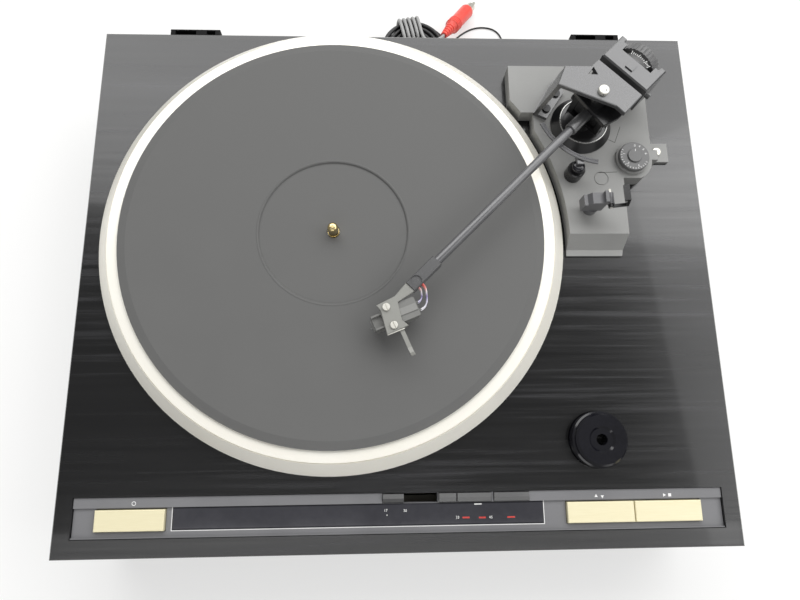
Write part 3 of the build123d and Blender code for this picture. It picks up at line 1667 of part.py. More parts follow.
signal_plug_spot = spot(45.4, 53.2, 26.0)
signal_plug_along = Vector(0.495, 0.794, -0.352).normalized()
signal_x = 62.0
signal_route = [
    spot(signal_x, 0, gland_height),
    spot(signal_x, 17.0, gland_height + 0.1),
    spot(60.0, 34.0, 22.8),
    spot(50.0, 46.0, 23.2),
    spot(38.0, 48.0, 23.2),
    spot(30.6, 42.0, 23.2),
]
for turn in range(lash_turns):
    signal_route += lash_turn(lash_near, turn, False)
signal_route = signal_route[:-3]
for turn in range(lash_turns):
    signal_route += lash_turn(lash_far, turn, True)
signal_route = signal_route[:-4]
signal_route += [
    spot(26.0, 52.7, 24.7),
    spot(29.9, 47.5, 26.7),
    spot(36.2, 45.7, 27.8),
    signal_plug_spot - signal_plug_along * 6.5,
    signal_plug_spot,
]

with BuildPart() as signal_lead:
    with BuildLine() as signal_line:
        FilletPolyline(*signal_route, radius=fillets(signal_route))
    with BuildSketch(Plane(signal_route[0], z_dir=(0, 1, 0))):
        Circle(signal_diameter / 2)
    sweep(path=signal_line.wire())
signal_lead.part.label = "signal_lead"
print("signal lead radii", [round(radius, 1) for radius in fillets(signal_route)])
print_cord("signal lead", signal_line.wire(), signal_lead.part, signal_diameter)

# Signal plug: a ribbed boot and grip, a shell and a pin, leaning on the coil
boot_length = 16.0
boot_start = 2.4
boot_end = 4.6
boot_ribs = 5
rib_height = 0.6
grip_start = 18.0
grip_ribs = 4
grip_radius = 6.2
grip_body = 27.0
grip_end = 52.0
shell_radius = 4.3
shell_end = 61.0
pin_end = 69.0
signal_pin = 1.6

boot_profile = [(0.0, 0.0)]
for rib in range(boot_ribs):
    start = boot_length * rib / boot_ribs
    for share, lift in ((0.0, 0.0), (0.15, rib_height), (0.65, rib_height), (0.8, 0.0)):
        along = start + share * boot_length / boot_ribs
        boot_profile.append((boot_start + (boot_end - boot_start) * along / boot_length + lift, along))
grip_step = (grip_body - grip_start) / grip_ribs
for rib in range(grip_ribs):
    start = grip_start + grip_step * rib
    boot_profile += [
        (grip_radius, start),
        (grip_radius + rib_height, start + grip_step * 0.2),
        (grip_radius + rib_height, start + grip_step * 0.7),
        (grip_radius, start + grip_step * 0.9),
    ]
boot_profile += [
    (grip_radius, grip_body),
    (grip_radius + 0.4, grip_end - 1.0),
    (grip_radius, grip_end),
    (shell_radius, grip_end),
    (shell_radius, shell_end),
    (signal_pin, shell_end),
    (signal_pin, pin_end),
    (0.0, pin_end),
]
plug_across = signal_plug_along.cross(Vector(0, 0, 1)).normalized()
boot_spot = signal_plug_spot + signal_plug_along * fit

with BuildPart() as signal_plug:
    with BuildSketch(
        Plane(boot_spot, x_dir=plug_across, z_dir=plug_across.cross(signal_plug_along))
    ):
        Polygon(*boot_profile, align=None)
    revolve(axis=Axis(boot_spot, signal_plug_along))
signal_plug.part.label = "signal_plug"

# Ground wire: a thin wire that loops out over the table to its lug
ground_x = 104.0
lug_radius = 3.0
lug_hole = 1.7
lug_thickness = 0.8
lug_length = 6.0
ground_low = ground_diameter / 2 + fit
ground_route = [
    spot(ground_x, 0, gland_height),
    spot(ground_x, 13.0, gland_height - 0.4),
    spot(105.0, 27.0, 9.0),
    spot(106.0, 45.0, ground_low),
    spot(107.5, 63.0, ground_low),
    spot(101.0, 79.0, ground_low),
    spot(84.0, 82.5, ground_low),
    spot(68.0, 76.0, ground_low),
    spot(59.0, 67.0, ground_low),
]
ground_end = ground_route[-1]
ground_way = (ground_end - ground_route[-2]).normalized()

with BuildPart() as ground_wire:
    with BuildLine() as ground_line:
        FilletPolyline(*ground_route, radius=fillets(ground_route))
    with BuildSketch(Plane(ground_route[0], z_dir=(0, 1, 0))):
        Circle(ground_diameter / 2)
    sweep(path=ground_line.wire())
    lug_spot = ground_end - Vector(0, 0, lug_thickness / 2)
    with BuildSketch(Plane(lug_spot, x_dir=ground_way, z_dir=(0, 0, 1))):
        Rectangle(lug_length, 2 * ground_diameter, align=(Align.MIN, Align.CENTER))
        with Locations((lug_length + lug_radius / 2, 0)):
            Circle(lug_radius)
            Circle(lug_hole, mode=Mode.SUBTRACT)
    extrude(amount=lug_thickness)
ground_wire.part.label = "ground_wire"
print("ground wire radii", [round(radius) for radius in fillets(ground_route)])

# Glands: tapered boots on the rear wall, one for each cord
glands = [
    (mains_exit, mains_diameter, 1.6, 20.0),
    (signal_route, signal_diameter, 1.3, 14.0),
    (ground_route, ground_diameter, 1.2, 8.0),
]

with BuildPart() as cord_glands:
    for route, diameter, wall, length in glands:
        with BuildSketch(Plane(route[0], z_dir=(0, 1, 0))):
            Circle(diameter / 2 + wall)
        with BuildSketch(Plane(route[0] + Vector(0, length, 0), z_dir=(0, 1, 0))):
            Circle(diameter / 2 + wall / 2)
        loft()
        with BuildLine() as gland_line:
            FilletPolyline(*route[:3], radius=fillets(route[:3]))
        with BuildSketch(Plane(route[0], z_dir=(0, 1, 0))):
            Circle(diameter / 2 + fit)
        sweep(path=gland_line.wire(), mode=Mode.SUBTRACT)
cord_glands.part.label = "cord_glands"

# Every piece goes out as one file
pieces = [
    cabinet.part,
    bottom_cover.part,
    screws.part,
    feet.part,
    foot_pads.part,
    motor_housing.part,
    motor_coils.part,
    bearing_sleeve.part,
    spindle.part,
    motor_rotor.part,
    platter.part,
    platter_mat.part,
    control_panel.part,
    display_window.part,
    indicator_lamps.part,
    size_slider.part,
    ep_adaptor.part,
    arm_base.part,
    anti_skate_dial.part,
    arm_pillar.part,
    pillar_rim.part,
    gimbal_frame.part,
    arm_screws.part,
    top_pivot_screw.part,
    gimbal_ring.part,
    side_pivots.part,
    bearing_block.part,
    arm_sleeve.part,
    arm_tube.part,
    arm_collar.part,
    headshell.part,
    cartridge.part,
    stylus_assembly.part,
    headshell_screws.part,
    finger_lift.part,
    cartridge_leads.part,
    weight_block.part,
    force_dial.part,
    cue_cylinder.part,
    cue_lifter.part,
    arm_rest.part,
    clip_pin.part,
    rest_clip_part,
    arm_drive_unit.part,
    shutter_disc.part,
    hinge_sockets.part,
    circuit_boards.part,
    transformer.part,
    mains_cord.part,
    mains_plug.part,
    cord_glands.part,
    signal_lead.part,
    signal_plug.part,
    ground_wire.part,
]
pieces.extend(moving_caps.values())

os.makedirs("parts", exist_ok=True)
for piece in pieces:
    export_step(piece, f"parts/{piece.label}.step")
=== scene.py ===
import json
import math

import bpy
from mathutils import Matrix, Vector


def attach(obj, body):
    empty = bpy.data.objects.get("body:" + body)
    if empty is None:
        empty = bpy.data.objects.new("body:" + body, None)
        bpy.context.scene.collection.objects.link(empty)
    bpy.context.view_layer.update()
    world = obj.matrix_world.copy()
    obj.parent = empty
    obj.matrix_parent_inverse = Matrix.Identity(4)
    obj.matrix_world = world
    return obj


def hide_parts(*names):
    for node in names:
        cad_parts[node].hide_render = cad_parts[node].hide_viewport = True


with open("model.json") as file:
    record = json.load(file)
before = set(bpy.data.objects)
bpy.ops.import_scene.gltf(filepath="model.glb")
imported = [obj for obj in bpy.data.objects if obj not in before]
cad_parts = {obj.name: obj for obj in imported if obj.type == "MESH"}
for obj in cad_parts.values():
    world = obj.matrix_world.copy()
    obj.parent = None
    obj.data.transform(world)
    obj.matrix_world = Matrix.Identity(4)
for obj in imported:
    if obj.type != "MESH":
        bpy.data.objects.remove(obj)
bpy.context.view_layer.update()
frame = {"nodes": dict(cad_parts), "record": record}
nodes = frame["nodes"]
bpy.ops.object.select_all(action="DESELECT")

# Sizes and places are in millimetres, and spot and behind turn places into metres
MM = 0.001
DECK_TOP = 95.0
PLINTH_Y = -2.6
REAR_WALL = 190.0


def spot(x, y, height):
    """Point in metres over a place on the deck's own grid, given in millimetres."""
    return Vector((x * MM, (y + PLINTH_Y) * MM, (height + DECK_TOP) * MM))


def behind(x, back, height):
    """Point in metres behind the rear wall, at a height over the table, in millimetres."""
    return Vector((x * MM, (back + REAR_WALL + PLINTH_Y) * MM, height * MM))


# Camera: nearly straight down over the front half, as the photograph was taken
EYE = Vector((-0.01705, -0.11786, 0.50404))
TURN = math.radians(9.907)
DOWN = math.radians(77.023)
ROLL = math.radians(9.391)
LENS = 26.70
SENSOR_WIDTH = 36.0
NEAREST = 0.01
ahead = Vector(
    (math.sin(TURN) * math.cos(DOWN), math.cos(TURN) * math.cos(DOWN), -math.sin(DOWN))
)
level = Vector((math.cos(TURN), -math.sin(TURN), 0))
upward = level.cross(ahead)
camera_right = level * math.cos(ROLL) + upward * math.sin(ROLL)
camera_up = upward * math.cos(ROLL) - level * math.sin(ROLL)

camera_data = bpy.data.cameras.new("camera")
camera_data.lens = LENS
camera_data.sensor_width = SENSOR_WIDTH
camera_data.clip_start = NEAREST
camera = bpy.data.objects.new("camera", camera_data)
camera.matrix_world = Matrix.Translation(EYE) @ Matrix(
    (camera_right, camera_up, -ahead)
).transposed().to_4x4()
bpy.context.scene.collection.objects.link(camera)
bpy.context.scene.camera = camera


# Materials
def linear(colour):
    """sRGB hex to linear colour with full alpha."""
    parts = [int(colour[step:step + 2], 16) / 255 for step in (1, 3, 5)]
    return [c / 12.92 if c <= 0.04045 else ((c + 0.055) / 1.055) ** 2.4 for c in parts] + [1.0]


def add_node(tree, kind, settings=None, **sockets):
    """Add a node, set its settings, and set or link its inputs by name, or by number after a _."""
    node = tree.nodes.new(kind)
    for name, value in (settings or {}).items():
        setattr(node, name, value)
    for name, value in sockets.items():
        socket = node.inputs[int(name[1:])] if name[0] == "_" else node.inputs[name.replace("_", " ")]
        if isinstance(value, bpy.types.NodeSocket):
            tree.links.new(value, socket)
        else:
            socket.default_value = value
    return node


def new_material(name, **sockets):
    """Empty material with a shader that has these values; gives the tree and the shader."""
    made = bpy.data.materials.new(name)
    made.use_nodes = True
    tree = made.node_tree
    tree.nodes.clear()
    shader = add_node(tree, "ShaderNodeBsdfPrincipled", **sockets)
    add_node(tree, "ShaderNodeOutputMaterial", Surface=shader.outputs[0])
    return made, tree, shader


def place(tree, scale=(1, 1, 1), middle=(0, 0, 0)):
    """Object coordinates scaled about a middle."""
    source = add_node(tree, "ShaderNodeTexCoord")
    return add_node(
        tree,
        "ShaderNodeMapping",
        {"vector_type": "POINT"},
        Vector=source.outputs["Object"],
        Location=[-part * share for part, share in zip(middle, scale)],
        Scale=scale,
    ).outputs[0]


# Grain is a fine noise over broad patches, 28 to a metre, that shift the tone a little
PATCHES = 28.0
FINE_SHARE = 0.6
GRAIN_LOW, GRAIN_HIGH = 0.5, 1.1


def grit(tree, shader, spacing, depth, colours, rough, stretch=(1, 1, 1)):
    """Grain of this spacing and depth in millimetres, in tone, gloss and bump; gives the tone."""
    where = place(tree, stretch)
    fine = add_node(tree, "ShaderNodeTexNoise", Vector=where, Scale=1 / (spacing * MM), Detail=3.0)
    broad = add_node(tree, "ShaderNodeTexNoise", Vector=where, Scale=PATCHES, Detail=2.0)
    both = add_node(
        tree,
        "ShaderNodeMath",
        {"operation": "MULTIPLY_ADD"},
        _0=fine.outputs[0],
        _1=FINE_SHARE,
        _2=broad.outputs[0],
    )
    share = add_node(
        tree, "ShaderNodeMapRange", Value=both.outputs[0], From_Min=GRAIN_LOW, From_Max=GRAIN_HIGH
    )
    tint = add_node(
        tree,
        "ShaderNodeMix",
        {"data_type": "RGBA"},
        _0=share.outputs[0],
        _6=linear(colours[0]),
        _7=linear(colours[1]),
    )
    tree.links.new(tint.outputs[2], shader.inputs["Base Color"])
    gloss = add_node(
        tree,
        "ShaderNodeMapRange",
        Value=both.outputs[0],
        From_Min=GRAIN_LOW,
        From_Max=GRAIN_HIGH,
        To_Min=rough[0],
        To_Max=rough[1],
    )
    tree.links.new(gloss.outputs[0], shader.inputs["Roughness"])
    bump = add_node(
        tree, "ShaderNodeBump", Strength=1.0, Distance=depth * MM, Height=fine.outputs[0]
    )
    tree.links.new(bump.outputs[0], shader.inputs["Normal"])
    return tint.outputs[2]


def plain_finish(name, colours, rough, spacing, depth, stretch=(1, 1, 1), **sockets):
    """Material with grain; a moulded, painted, plated or rubber surface by its values."""
    made, tree, shader = new_material(name, **sockets)
    grit(tree, shader, spacing, depth, colours, rough, stretch)
    return made


def two_tones(tree, shader, measure, edge, below, above):
    """Base colour that changes where a measure passes an edge; gives 0 below it and 1 above."""
    past = add_node(tree, "ShaderNodeMath", {"operation": "GREATER_THAN"}, _0=measure, _1=edge)
    tone = add_node(
        tree, "ShaderNodeMix", {"data_type": "RGBA"}, _0=past.outputs[0], _6=below, _7=above
    )
    tree.links.new(tone.outputs[2], shader.inputs["Base Color"])
    return past.outputs[0]


# Veneer film pressed over board and lacquered: gloss black, with streaks of open wood grain
# about 4 mm wide and finer, 150 mm long. They run to the right, or to the rear on the side walls
STREAKS_ACROSS = 260.0
STREAKS_ALONG = 6.5
VENEER_PORE = 0.02
SIDE_WALL = 0.7
black_veneer, tree, shader = new_material(
    "black_veneer", Metallic=0.0, IOR=1.5, Coat_Weight=0.35, Coat_Roughness=0.05
)
geometry = add_node(tree, "ShaderNodeNewGeometry")
facing = add_node(tree, "ShaderNodeSeparateXYZ", Vector=geometry.outputs["Normal"])
lean = add_node(tree, "ShaderNodeMath", {"operation": "ABSOLUTE"}, _0=facing.outputs[0])
sideways = add_node(
    tree, "ShaderNodeMath", {"operation": "GREATER_THAN"}, _0=lean.outputs[0], _1=SIDE_WALL
)
along = add_node(
    tree,
    "ShaderNodeMix",
    {"data_type": "VECTOR"},
    _0=sideways.outputs[0],
    _4=place(tree, (STREAKS_ALONG, STREAKS_ACROSS, STREAKS_ACROSS)),
    _5=place(tree, (STREAKS_ACROSS, STREAKS_ALONG, STREAKS_ACROSS)),
)
streaks = add_node(
    tree,
    "ShaderNodeTexNoise",
    Vector=along.outputs[1],
    Scale=1.0,
    Detail=5.0,
    Roughness=0.62,
    Distortion=0.25,
)
broader = add_node(
    tree, "ShaderNodeVectorMath", {"operation": "MULTIPLY"}, _0=along.outputs[1], _1=(0.5, 0.09, 0.09)
)
wide = add_node(tree, "ShaderNodeTexNoise", Vector=broader.outputs[0], Scale=1.0, Detail=2.0)
mask = add_node(
    tree, "ShaderNodeMath", {"operation": "MULTIPLY"}, _0=streaks.outputs[0], _1=wide.outputs[0]
)
ramp = add_node(tree, "ShaderNodeValToRGB", Fac=mask.outputs[0])
for stop, position, colour in zip(ramp.color_ramp.elements, (0.26, 0.44), ("#09090a", "#2c2c2e")):
    stop.position = position
    stop.color = linear(colour)
tree.links.new(ramp.outputs[0], shader.inputs["Base Color"])
gloss = add_node(
    tree,
    "ShaderNodeMapRange",
    Value=streaks.outputs[0],
    From_Min=0.3,
    From_Max=0.7,
    To_Min=0.16,
    To_Max=0.3,
)
tree.links.new(gloss.outputs[0], shader.inputs["Roughness"])
bump = add_node(
    tree, "ShaderNodeBump", Strength=1.0, Distance=VENEER_PORE * MM, Height=streaks.outputs[0]
)
tree.links.new(bump.outputs[0], shader.inputs["Normal"])

# Die-cast aluminium, turned: a pale champagne sheen, with tool marks drawn 0.9 mm apart,
# which is coarser than real ones
TURNING_PITCH = 0.9
TURNING_DEPTH = 0.01
# At scale 1 the wave repeats at this length
WAVE_LENGTH = math.tau / 20
PLATTER_X, PLATTER_Y = -47.0, 22.6
platter_middle = spot(PLATTER_X, PLATTER_Y, 0)
platter_alloy, tree, shader = new_material("platter_alloy", Metallic=0.25, Roughness=0.3)
rings = add_node(
    tree,
    "ShaderNodeTexWave",
    {"wave_type": "RINGS", "rings_direction": "Z"},
    Vector=place(tree, middle=(platter_middle.x, platter_middle.y, 0)),
    Scale=WAVE_LENGTH / (TURNING_PITCH * MM),
    Distortion=0.4,
)
patch = add_node(tree, "ShaderNodeTexNoise", Vector=place(tree), Scale=22.0, Detail=3.0)
tint = add_node(
    tree,
    "ShaderNodeMix",
    {"data_type": "RGBA"},
    _0=patch.outputs[0],
    _6=linear("#f0ece0"),
    _7=linear("#f8f6ee"),
)
tree.links.new(tint.outputs[2], shader.inputs["Base Color"])
gloss = add_node(tree, "ShaderNodeMapRange", Value=rings.outputs[1], To_Min=0.3, To_Max=0.42)
tree.links.new(gloss.outputs[0], shader.inputs["Roughness"])
bump = add_node(
    tree, "ShaderNodeBump", Strength=0.5, Distance=TURNING_DEPTH * MM, Height=rings.outputs[1]
)
tree.links.new(bump.outputs[0], shader.inputs["Normal"])

# ABS caps, painted and brushed along the panel: pale gold with a soft, drawn-out light
champagne_cap = plain_finish(
    "champagne_cap", ("#e4dbb6", "#ede6c6"), (0.34, 0.46), 0.5, 0.01, (0.05, 1.0, 1.0), Metallic=0.1
)

# Nickel plated screws of the arm: pale and bright, and dark where the arm's frame shades them
FRAME_SHADE_X = 178.0
arm_screws, tree, shader = new_material("arm_screws", Metallic=0.35)
plated = grit(tree, shader, 0.5, 0.003, ("#c9c6ba", "#e4e1d6"), (0.22, 0.32))
axes = add_node(tree, "ShaderNodeSeparateXYZ", Vector=place(tree))
two_tones(tree, shader, axes.outputs[0], FRAME_SHADE_X * MM, linear("#1b1b1c"), plated)

# Epoxy laminate under the deck: an even green. Phenolic paper under the keys: grey-brown
KEY_BOARD_BACK = -140.0
boards, tree, shader = new_material("circuit_boards", Metallic=0.0)
laminate = grit(tree, shader, 1.5, 0.02, ("#1d4526", "#2b5a34"), (0.35, 0.5))
axes = add_node(tree, "ShaderNodeSeparateXYZ", Vector=place(tree))
two_tones(tree, shader, axes.outputs[1], KEY_BOARD_BACK * MM, linear("#8a8478"), laminate)

# PVC insulation of the cartridge's leads: white, violet and red, one after the other
LEADS_FRONT, LEADS_BACK = -38.5, -22.5
LEAD_BANDS = ((0.3, "#d6d3e6"), (0.5, "#8e7fb4"), (0.68, "#efe9ea"), (0.84, "#e08a82"))
leads, tree, shader = new_material("lead_insulation", Roughness=0.42)
axes = add_node(tree, "ShaderNodeSeparateXYZ", Vector=place(tree))
share = add_node(
    tree,
    "ShaderNodeMapRange",
    Value=axes.outputs[1],
    From_Min=LEADS_FRONT * MM,
    From_Max=LEADS_BACK * MM,
)
bands = add_node(tree, "ShaderNodeValToRGB", Fac=share.outputs[0])
bands.color_ramp.elements[0].color = linear("#e8e6ea")
bands.color_ramp.elements[1].color = linear("#d8463e")
for position, colour in LEAD_BANDS:
    bands.color_ramp.elements.new(position).color = linear(colour)
tree.links.new(bands.outputs[0], shader.inputs["Base Color"])

# Soft PVC grip of the signal plug: warm red. Past it a nickel shell and pin: pale and bright
PLUG_GRIP = 52.1
plug_spot = behind(45.4, 53.2, 26.0)
plug_along = Vector((0.495, 0.794, -0.352)).normalized()
signal_plug, tree, shader = new_material("plug_pvc")
grip = grit(tree, shader, 0.6, 0.01, ("#e8483e", "#f25c50"), (0.3, 0.42))
source = add_node(tree, "ShaderNodeTexCoord")
from_boot = add_node(
    tree,
    "ShaderNodeVectorMath",
    {"operation": "SUBTRACT"},
    _0=source.outputs["Object"],
    _1=plug_spot,
)
run = add_node(
    tree, "ShaderNodeVectorMath", {"operation": "DOT_PRODUCT"}, _0=from_boot.outputs[0], _1=plug_along
)
shell = two_tones(tree, shader, run.outputs["Value"], PLUG_GRIP * MM, grip, linear("#d5d2c8"))
tree.links.new(shell, shader.inputs["Metallic"])

# Each slot of the record has the finish of the real stuff. A plain finish gives its two tones,
# its roughness, and the spacing and depth of its grain in millimetres
finishes = {
    "black_veneer": black_veneer,
    "platter_alloy": platter_alloy,
    "champagne_cap": champagne_cap,
    "board_green": boards,
    "lead_coloured": leads,
    "plug_red": signal_plug,
    # Moulded rubber of the mat: a dull, even grey
    "mat_rubber": plain_finish(
        "mat_rubber", ("#5e5e5d", "#636362"), (0.7, 0.85), 0.4, 0.03, IOR=1.5
    ),
    # Pressed hardboard: matt brown with short fibres
    "cover_board": plain_finish("hardboard", ("#5a4a38", "#6e5b45"), (0.7, 0.9), 0.8, 0.1),
    # Zinc plated steel: pale, with a cloudy shine
    "plated_steel": plain_finish(
        "plated_steel", ("#a8a8a2", "#bcbcb6"), (0.3, 0.45), 0.8, 0.02, Metallic=1.0
    ),
    # Enamelled copper wire: orange-brown, glossy and a little uneven
    "copper_winding": plain_finish(
        "copper_winding", ("#a8602c", "#c27a42"), (0.3, 0.4), 0.4, 0.05, Metallic=0.9
    ),
    # Turned brass: a warm, clear shine
    "bearing_brass": plain_finish(
        "bearing_brass", ("#b8964c", "#cdae66"), (0.25, 0.35), 0.5, 0.01, Metallic=1.0
    ),
    # Pressed iron and ferrite of the motor: dark, with a dull metallic light
    "magnet_iron": plain_finish(
        "magnet_iron", ("#2a2a2c", "#3c3c3e"), (0.5, 0.7), 0.5, 0.05, Metallic=0.6
    ),
    # Ground and polished steel of the spindle: a sharp shine, warm in tone
    "spindle_steel": plain_finish(
        "spindle_steel", ("#c8b27c", "#dccb9c"), (0.16, 0.26), 0.6, 0.005, Metallic=1.0
    ),
    # Blackened steel: near black with small hard lights
    "black_screw": plain_finish(
        "black_screw", ("#131314", "#222224"), (0.3, 0.45), 0.4, 0.01, Metallic=0.6
    ),
    # Moulded ABS with a spark texture: near black, and it scatters the light
    "black_plastic": plain_finish("black_abs", ("#19191a", "#262627"), (0.42, 0.55), 0.5, 0.03),
    # Moulded rubber of the feet: black and dull
    "pad_rubber": plain_finish("pad_rubber", ("#1c1c1d", "#2a2a2b"), (0.75, 0.9), 0.5, 0.05),
    # Painted ABS of the panel: an even mid grey, slightly satin
    "panel_plastic": plain_finish("panel_abs", ("#6d6d6f", "#79797b"), (0.42, 0.52), 0.35, 0.02),
    # Moulded ABS of the keys: a darker grey with a softer shine
    "key_plastic": plain_finish("key_abs", ("#5c5c5c", "#6a6a6a"), (0.38, 0.5), 0.35, 0.02),
    # Moulded ABS of the arm's base: light grey and matt
    "base_plastic": plain_finish("base_abs", ("#8b8b89", "#969694"), (0.55, 0.7), 0.4, 0.03),
    # Smooth moulded ABS of the dials: mid grey with a clear highlight
    "dial_black": plain_finish("dial_abs", ("#5d5d5d", "#696969"), (0.35, 0.48), 0.3, 0.01),
    # Moulded ABS of the cartridge and its stylus holder: warm greys with a soft highlight
    "cartridge_black": plain_finish(
        "cartridge_abs", ("#6c6c6a", "#7b7b78"), (0.35, 0.5), 0.4, 0.02
    ),
    "stylus_grey": plain_finish("stylus_abs", ("#7c7c7a", "#8b8b88"), (0.35, 0.5), 0.4, 0.02),
    # Smoked cast acrylic: dark and mirror-smooth
    "window_acrylic": plain_finish(
        "window_acrylic", ("#313136", "#3a3a3f"), (0.05, 0.09), 4.0, 0.0, IOR=1.49
    ),
    # Polished ABS of the adaptor: deep black with sharp reflections
    "adaptor_gloss": plain_finish(
        "adaptor_gloss", ("#0d0d12", "#15151b"), (0.08, 0.14), 2.0, 0.002, IOR=1.5
    ),
    # Red acrylic of the lamps: a clear red with a glossy face
    "lamp_red": plain_finish("lamp_lens", ("#b0302a", "#d8504a"), (0.12, 0.2), 0.6, 0.0, IOR=1.5),
    # Painted alloy of the pillar: black with a strong sheen
    "pillar_black": plain_finish(
        "pillar_paint", ("#161617", "#222223"), (0.26, 0.36), 0.4, 0.01, Specular_IOR_Level=0.8
    ),
    # Painted aluminium of the arm's frame and tube: charcoal with a strong sheen on every edge
    "gimbal_black": plain_finish(
        "gimbal_paint", ("#454546", "#505051"), (0.22, 0.3), 0.4, 0.006, Specular_IOR_Level=1.0
    ),
    "tube_black": plain_finish(
        "tube_paint", ("#505052", "#5e5e60"), (0.2, 0.3), 0.4, 0.005, Specular_IOR_Level=0.9
    ),
    # Painted alloy of the headshell: light grey with a soft, broad highlight
    "shell_black": plain_finish(
        "shell_paint", ("#84847f", "#93938e"), (0.36, 0.5), 0.3, 0.02, Metallic=0.1
    ),
    # Nickel plated steel: pale and bright, a little warm
    "bright_screw": plain_finish(
        "bright_screw", ("#cfcdc4", "#dedcd4"), (0.3, 0.4), 0.5, 0.003, Metallic=0.3
    ),
    # Chromed ring: grey with hard reflections
    "bright_ring": plain_finish(
        "bright_ring", ("#8e8e8c", "#a6a6a4"), (0.2, 0.3), 0.5, 0.005, Metallic=0.8
    ),
    # Extruded PVC sheaths: black or pale grey, each with one soft line of light
    "cord_black": plain_finish("cord_pvc", ("#101011", "#1a1a1b"), (0.38, 0.5), 0.5, 0.01),
    "cord_grey": plain_finish("lead_pvc", ("#949493", "#adadac"), (0.38, 0.5), 0.5, 0.01),
    # Screen print: thick pale ink
    "print": plain_finish("screen_print", ("#e2e2e0", "#f0f0ee"), (0.4, 0.5), 0.3, 0.01),
    # Painted shade for open seams between mouldings and for holes: dark, with hardly any shine
    "groove": plain_finish("groove_shade", ("#151515", "#1d1d1d"), (0.6, 0.8), 0.3, 0.01),
}
# Painted small parts of the arm: deep black with a clear highlight
satin_black = plain_finish("satin_black", ("#141415", "#1f1f20"), (0.2, 0.3), 0.4, 0.005)
# Pieces that differ from the others of their slot
own_finishes = {
    "arm_screws": arm_screws,
    "rest_clip": satin_black,
    "cue_cylinder": satin_black,
    "gimbal_ring": satin_black,
    "bearing_block": satin_black,
    "side_pivots": satin_black,
    # Matt moulded ABS down in the sockets: almost no light comes back
    "hinge_sockets": plain_finish(
        "socket_abs", ("#0e0e0f", "#171718"), (0.6, 0.75), 0.5, 0.02, Specular_IOR_Level=0.15
    ),
    # Smooth moulded ABS of the rest: mid grey with a clear highlight
    "arm_rest": plain_finish("rest_abs", ("#58585a", "#646466"), (0.25, 0.35), 0.4, 0.01),
}

slots = {entry["node"]: entry["material_slot"] for entry in frame["record"]["subparts"]}
for name, node in nodes.items():
    node.data.materials.clear()
    node.data.materials.append(own_finishes.get(name, finishes[slots[name]]))


# Cords
def cord_piece(name, route, diameter, material):
    """Cord on one smooth line through the neighbourhood of its route's points."""
    line = bpy.data.curves.new(name, "CURVE")
    line.dimensions = "3D"
    line.bevel_depth = diameter * MM / 2
    line.bevel_resolution = 3
    line.resolution_u = 6
    line.use_fill_caps = True
    spline = line.splines.new("NURBS")
    spline.points.add(len(route) - 1)
    for point, at in zip(spline.points, route):
        point.co = (*at, 1)
    spline.order_u = 3
    spline.use_endpoint_u = True
    line.materials.append(material)
    piece = bpy.data.objects.new(name, line)
    bpy.context.scene.collection.objects.link(piece)
    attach(piece, "base")
    return piece


MAINS_DIAMETER = 4.0
SIGNAL_DIAMETER = 3.2
GROUND_DIAMETER = 1.6
TABLE_GAP = 0.05
GLAND_HEIGHT = 21.8

# The mains cord lies in a coil of flat layers, and the signal lead is wound round it
MAINS_PITCH = 4.5
LAYER_PITCH = 4.45
COIL_X = 20.0
COIL_Y = 43.0
COIL_INNER = 16.2
COIL_LAYERS = 4
LAYER_TURNS = 4
LASH_PITCH = 4.2
LASH_CORNER = 4.2
LASH_TURNS = 5
LASH_ABOVE = 11.4
LASH_BELOW = 10.9
LASH_SHIFT = 2.4
COIL_MIDDLE = SIGNAL_DIAMETER / 2 + TABLE_GAP + LASH_BELOW
COIL_TOP = COIL_MIDDLE + LAYER_PITCH * (COIL_LAYERS - 1) / 2
COIL_LOW = COIL_MIDDLE - LAYER_PITCH * (COIL_LAYERS - 1) / 2
HALF_STEPS = 8
# The line runs a little inside its points, so the coil's points lie this much further out
COIL_OUTSET = 8 / (6 + 2 * math.cos(math.pi / HALF_STEPS))


def coil_ends():
    """Ends of the coil's half turns: how far to the right, and the layer they lie in."""
    radii = [COIL_INNER + MAINS_PITCH * step for step in range(LAYER_TURNS)]
    ends = [(-radii[-1], 0)]
    for layer in range(COIL_LAYERS):
        order = radii[::-1] if layer % 2 == 0 else radii
        for radius in order[1:-1]:
            ends += [(radius, layer), (-radius, layer)]
        ends += [(order[-1], layer), (-order[-1], layer + 1)]
    return ends[:-1]


def coil_points():
    """Points round the coil's half turns, at the rear and the front in turn."""
    points = []
    ends = coil_ends()
    for step, (start, end) in enumerate(zip(ends, ends[1:])):
        side = 1 if step % 2 == 0 else -1
        middle_x = (start[0] + end[0]) / 2
        reach = abs(end[0] - start[0]) / 2 * COIL_OUTSET
        way = 1 if end[0] > start[0] else -1
        for part in range(HALF_STEPS):
            share = (part + 0.5) / HALF_STEPS
            layer = start[1] + (end[1] - start[1]) * share
            points.append(
                behind(
                    COIL_X + middle_x - way * reach * math.cos(math.pi * share),
                    COIL_Y + side * reach * math.sin(math.pi * share),
                    COIL_TOP - LAYER_PITCH * layer,
                )
            )
    return points


mains_x = COIL_X + coil_ends()[0][0]
tail_radius = coil_ends()[-1][0]
mains_route = [
    behind(mains_x, 0, GLAND_HEIGHT),
    behind(mains_x, 20, GLAND_HEIGHT),
    behind(mains_x, COIL_Y - 13, COIL_TOP),
]
mains_route += coil_points()
# The tail leaves the coil by a quarter turn and runs straight to the left
for step in range(HALF_STEPS // 2):
    angle = math.pi * (step + 0.5) / HALF_STEPS
    mains_route.append(
        behind(
            COIL_X + tail_radius * COIL_OUTSET * math.cos(angle),
            COIL_Y - tail_radius * COIL_OUTSET * math.sin(angle),
            COIL_LOW,
        )
    )
mains_route += [behind(COIL_X - left, COIL_Y - tail_radius, COIL_LOW) for left in (6, 18, 30)]
mains = cord_piece("mains_lead", mains_route, MAINS_DIAMETER, finishes["cord_black"])
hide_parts("mains_cord")


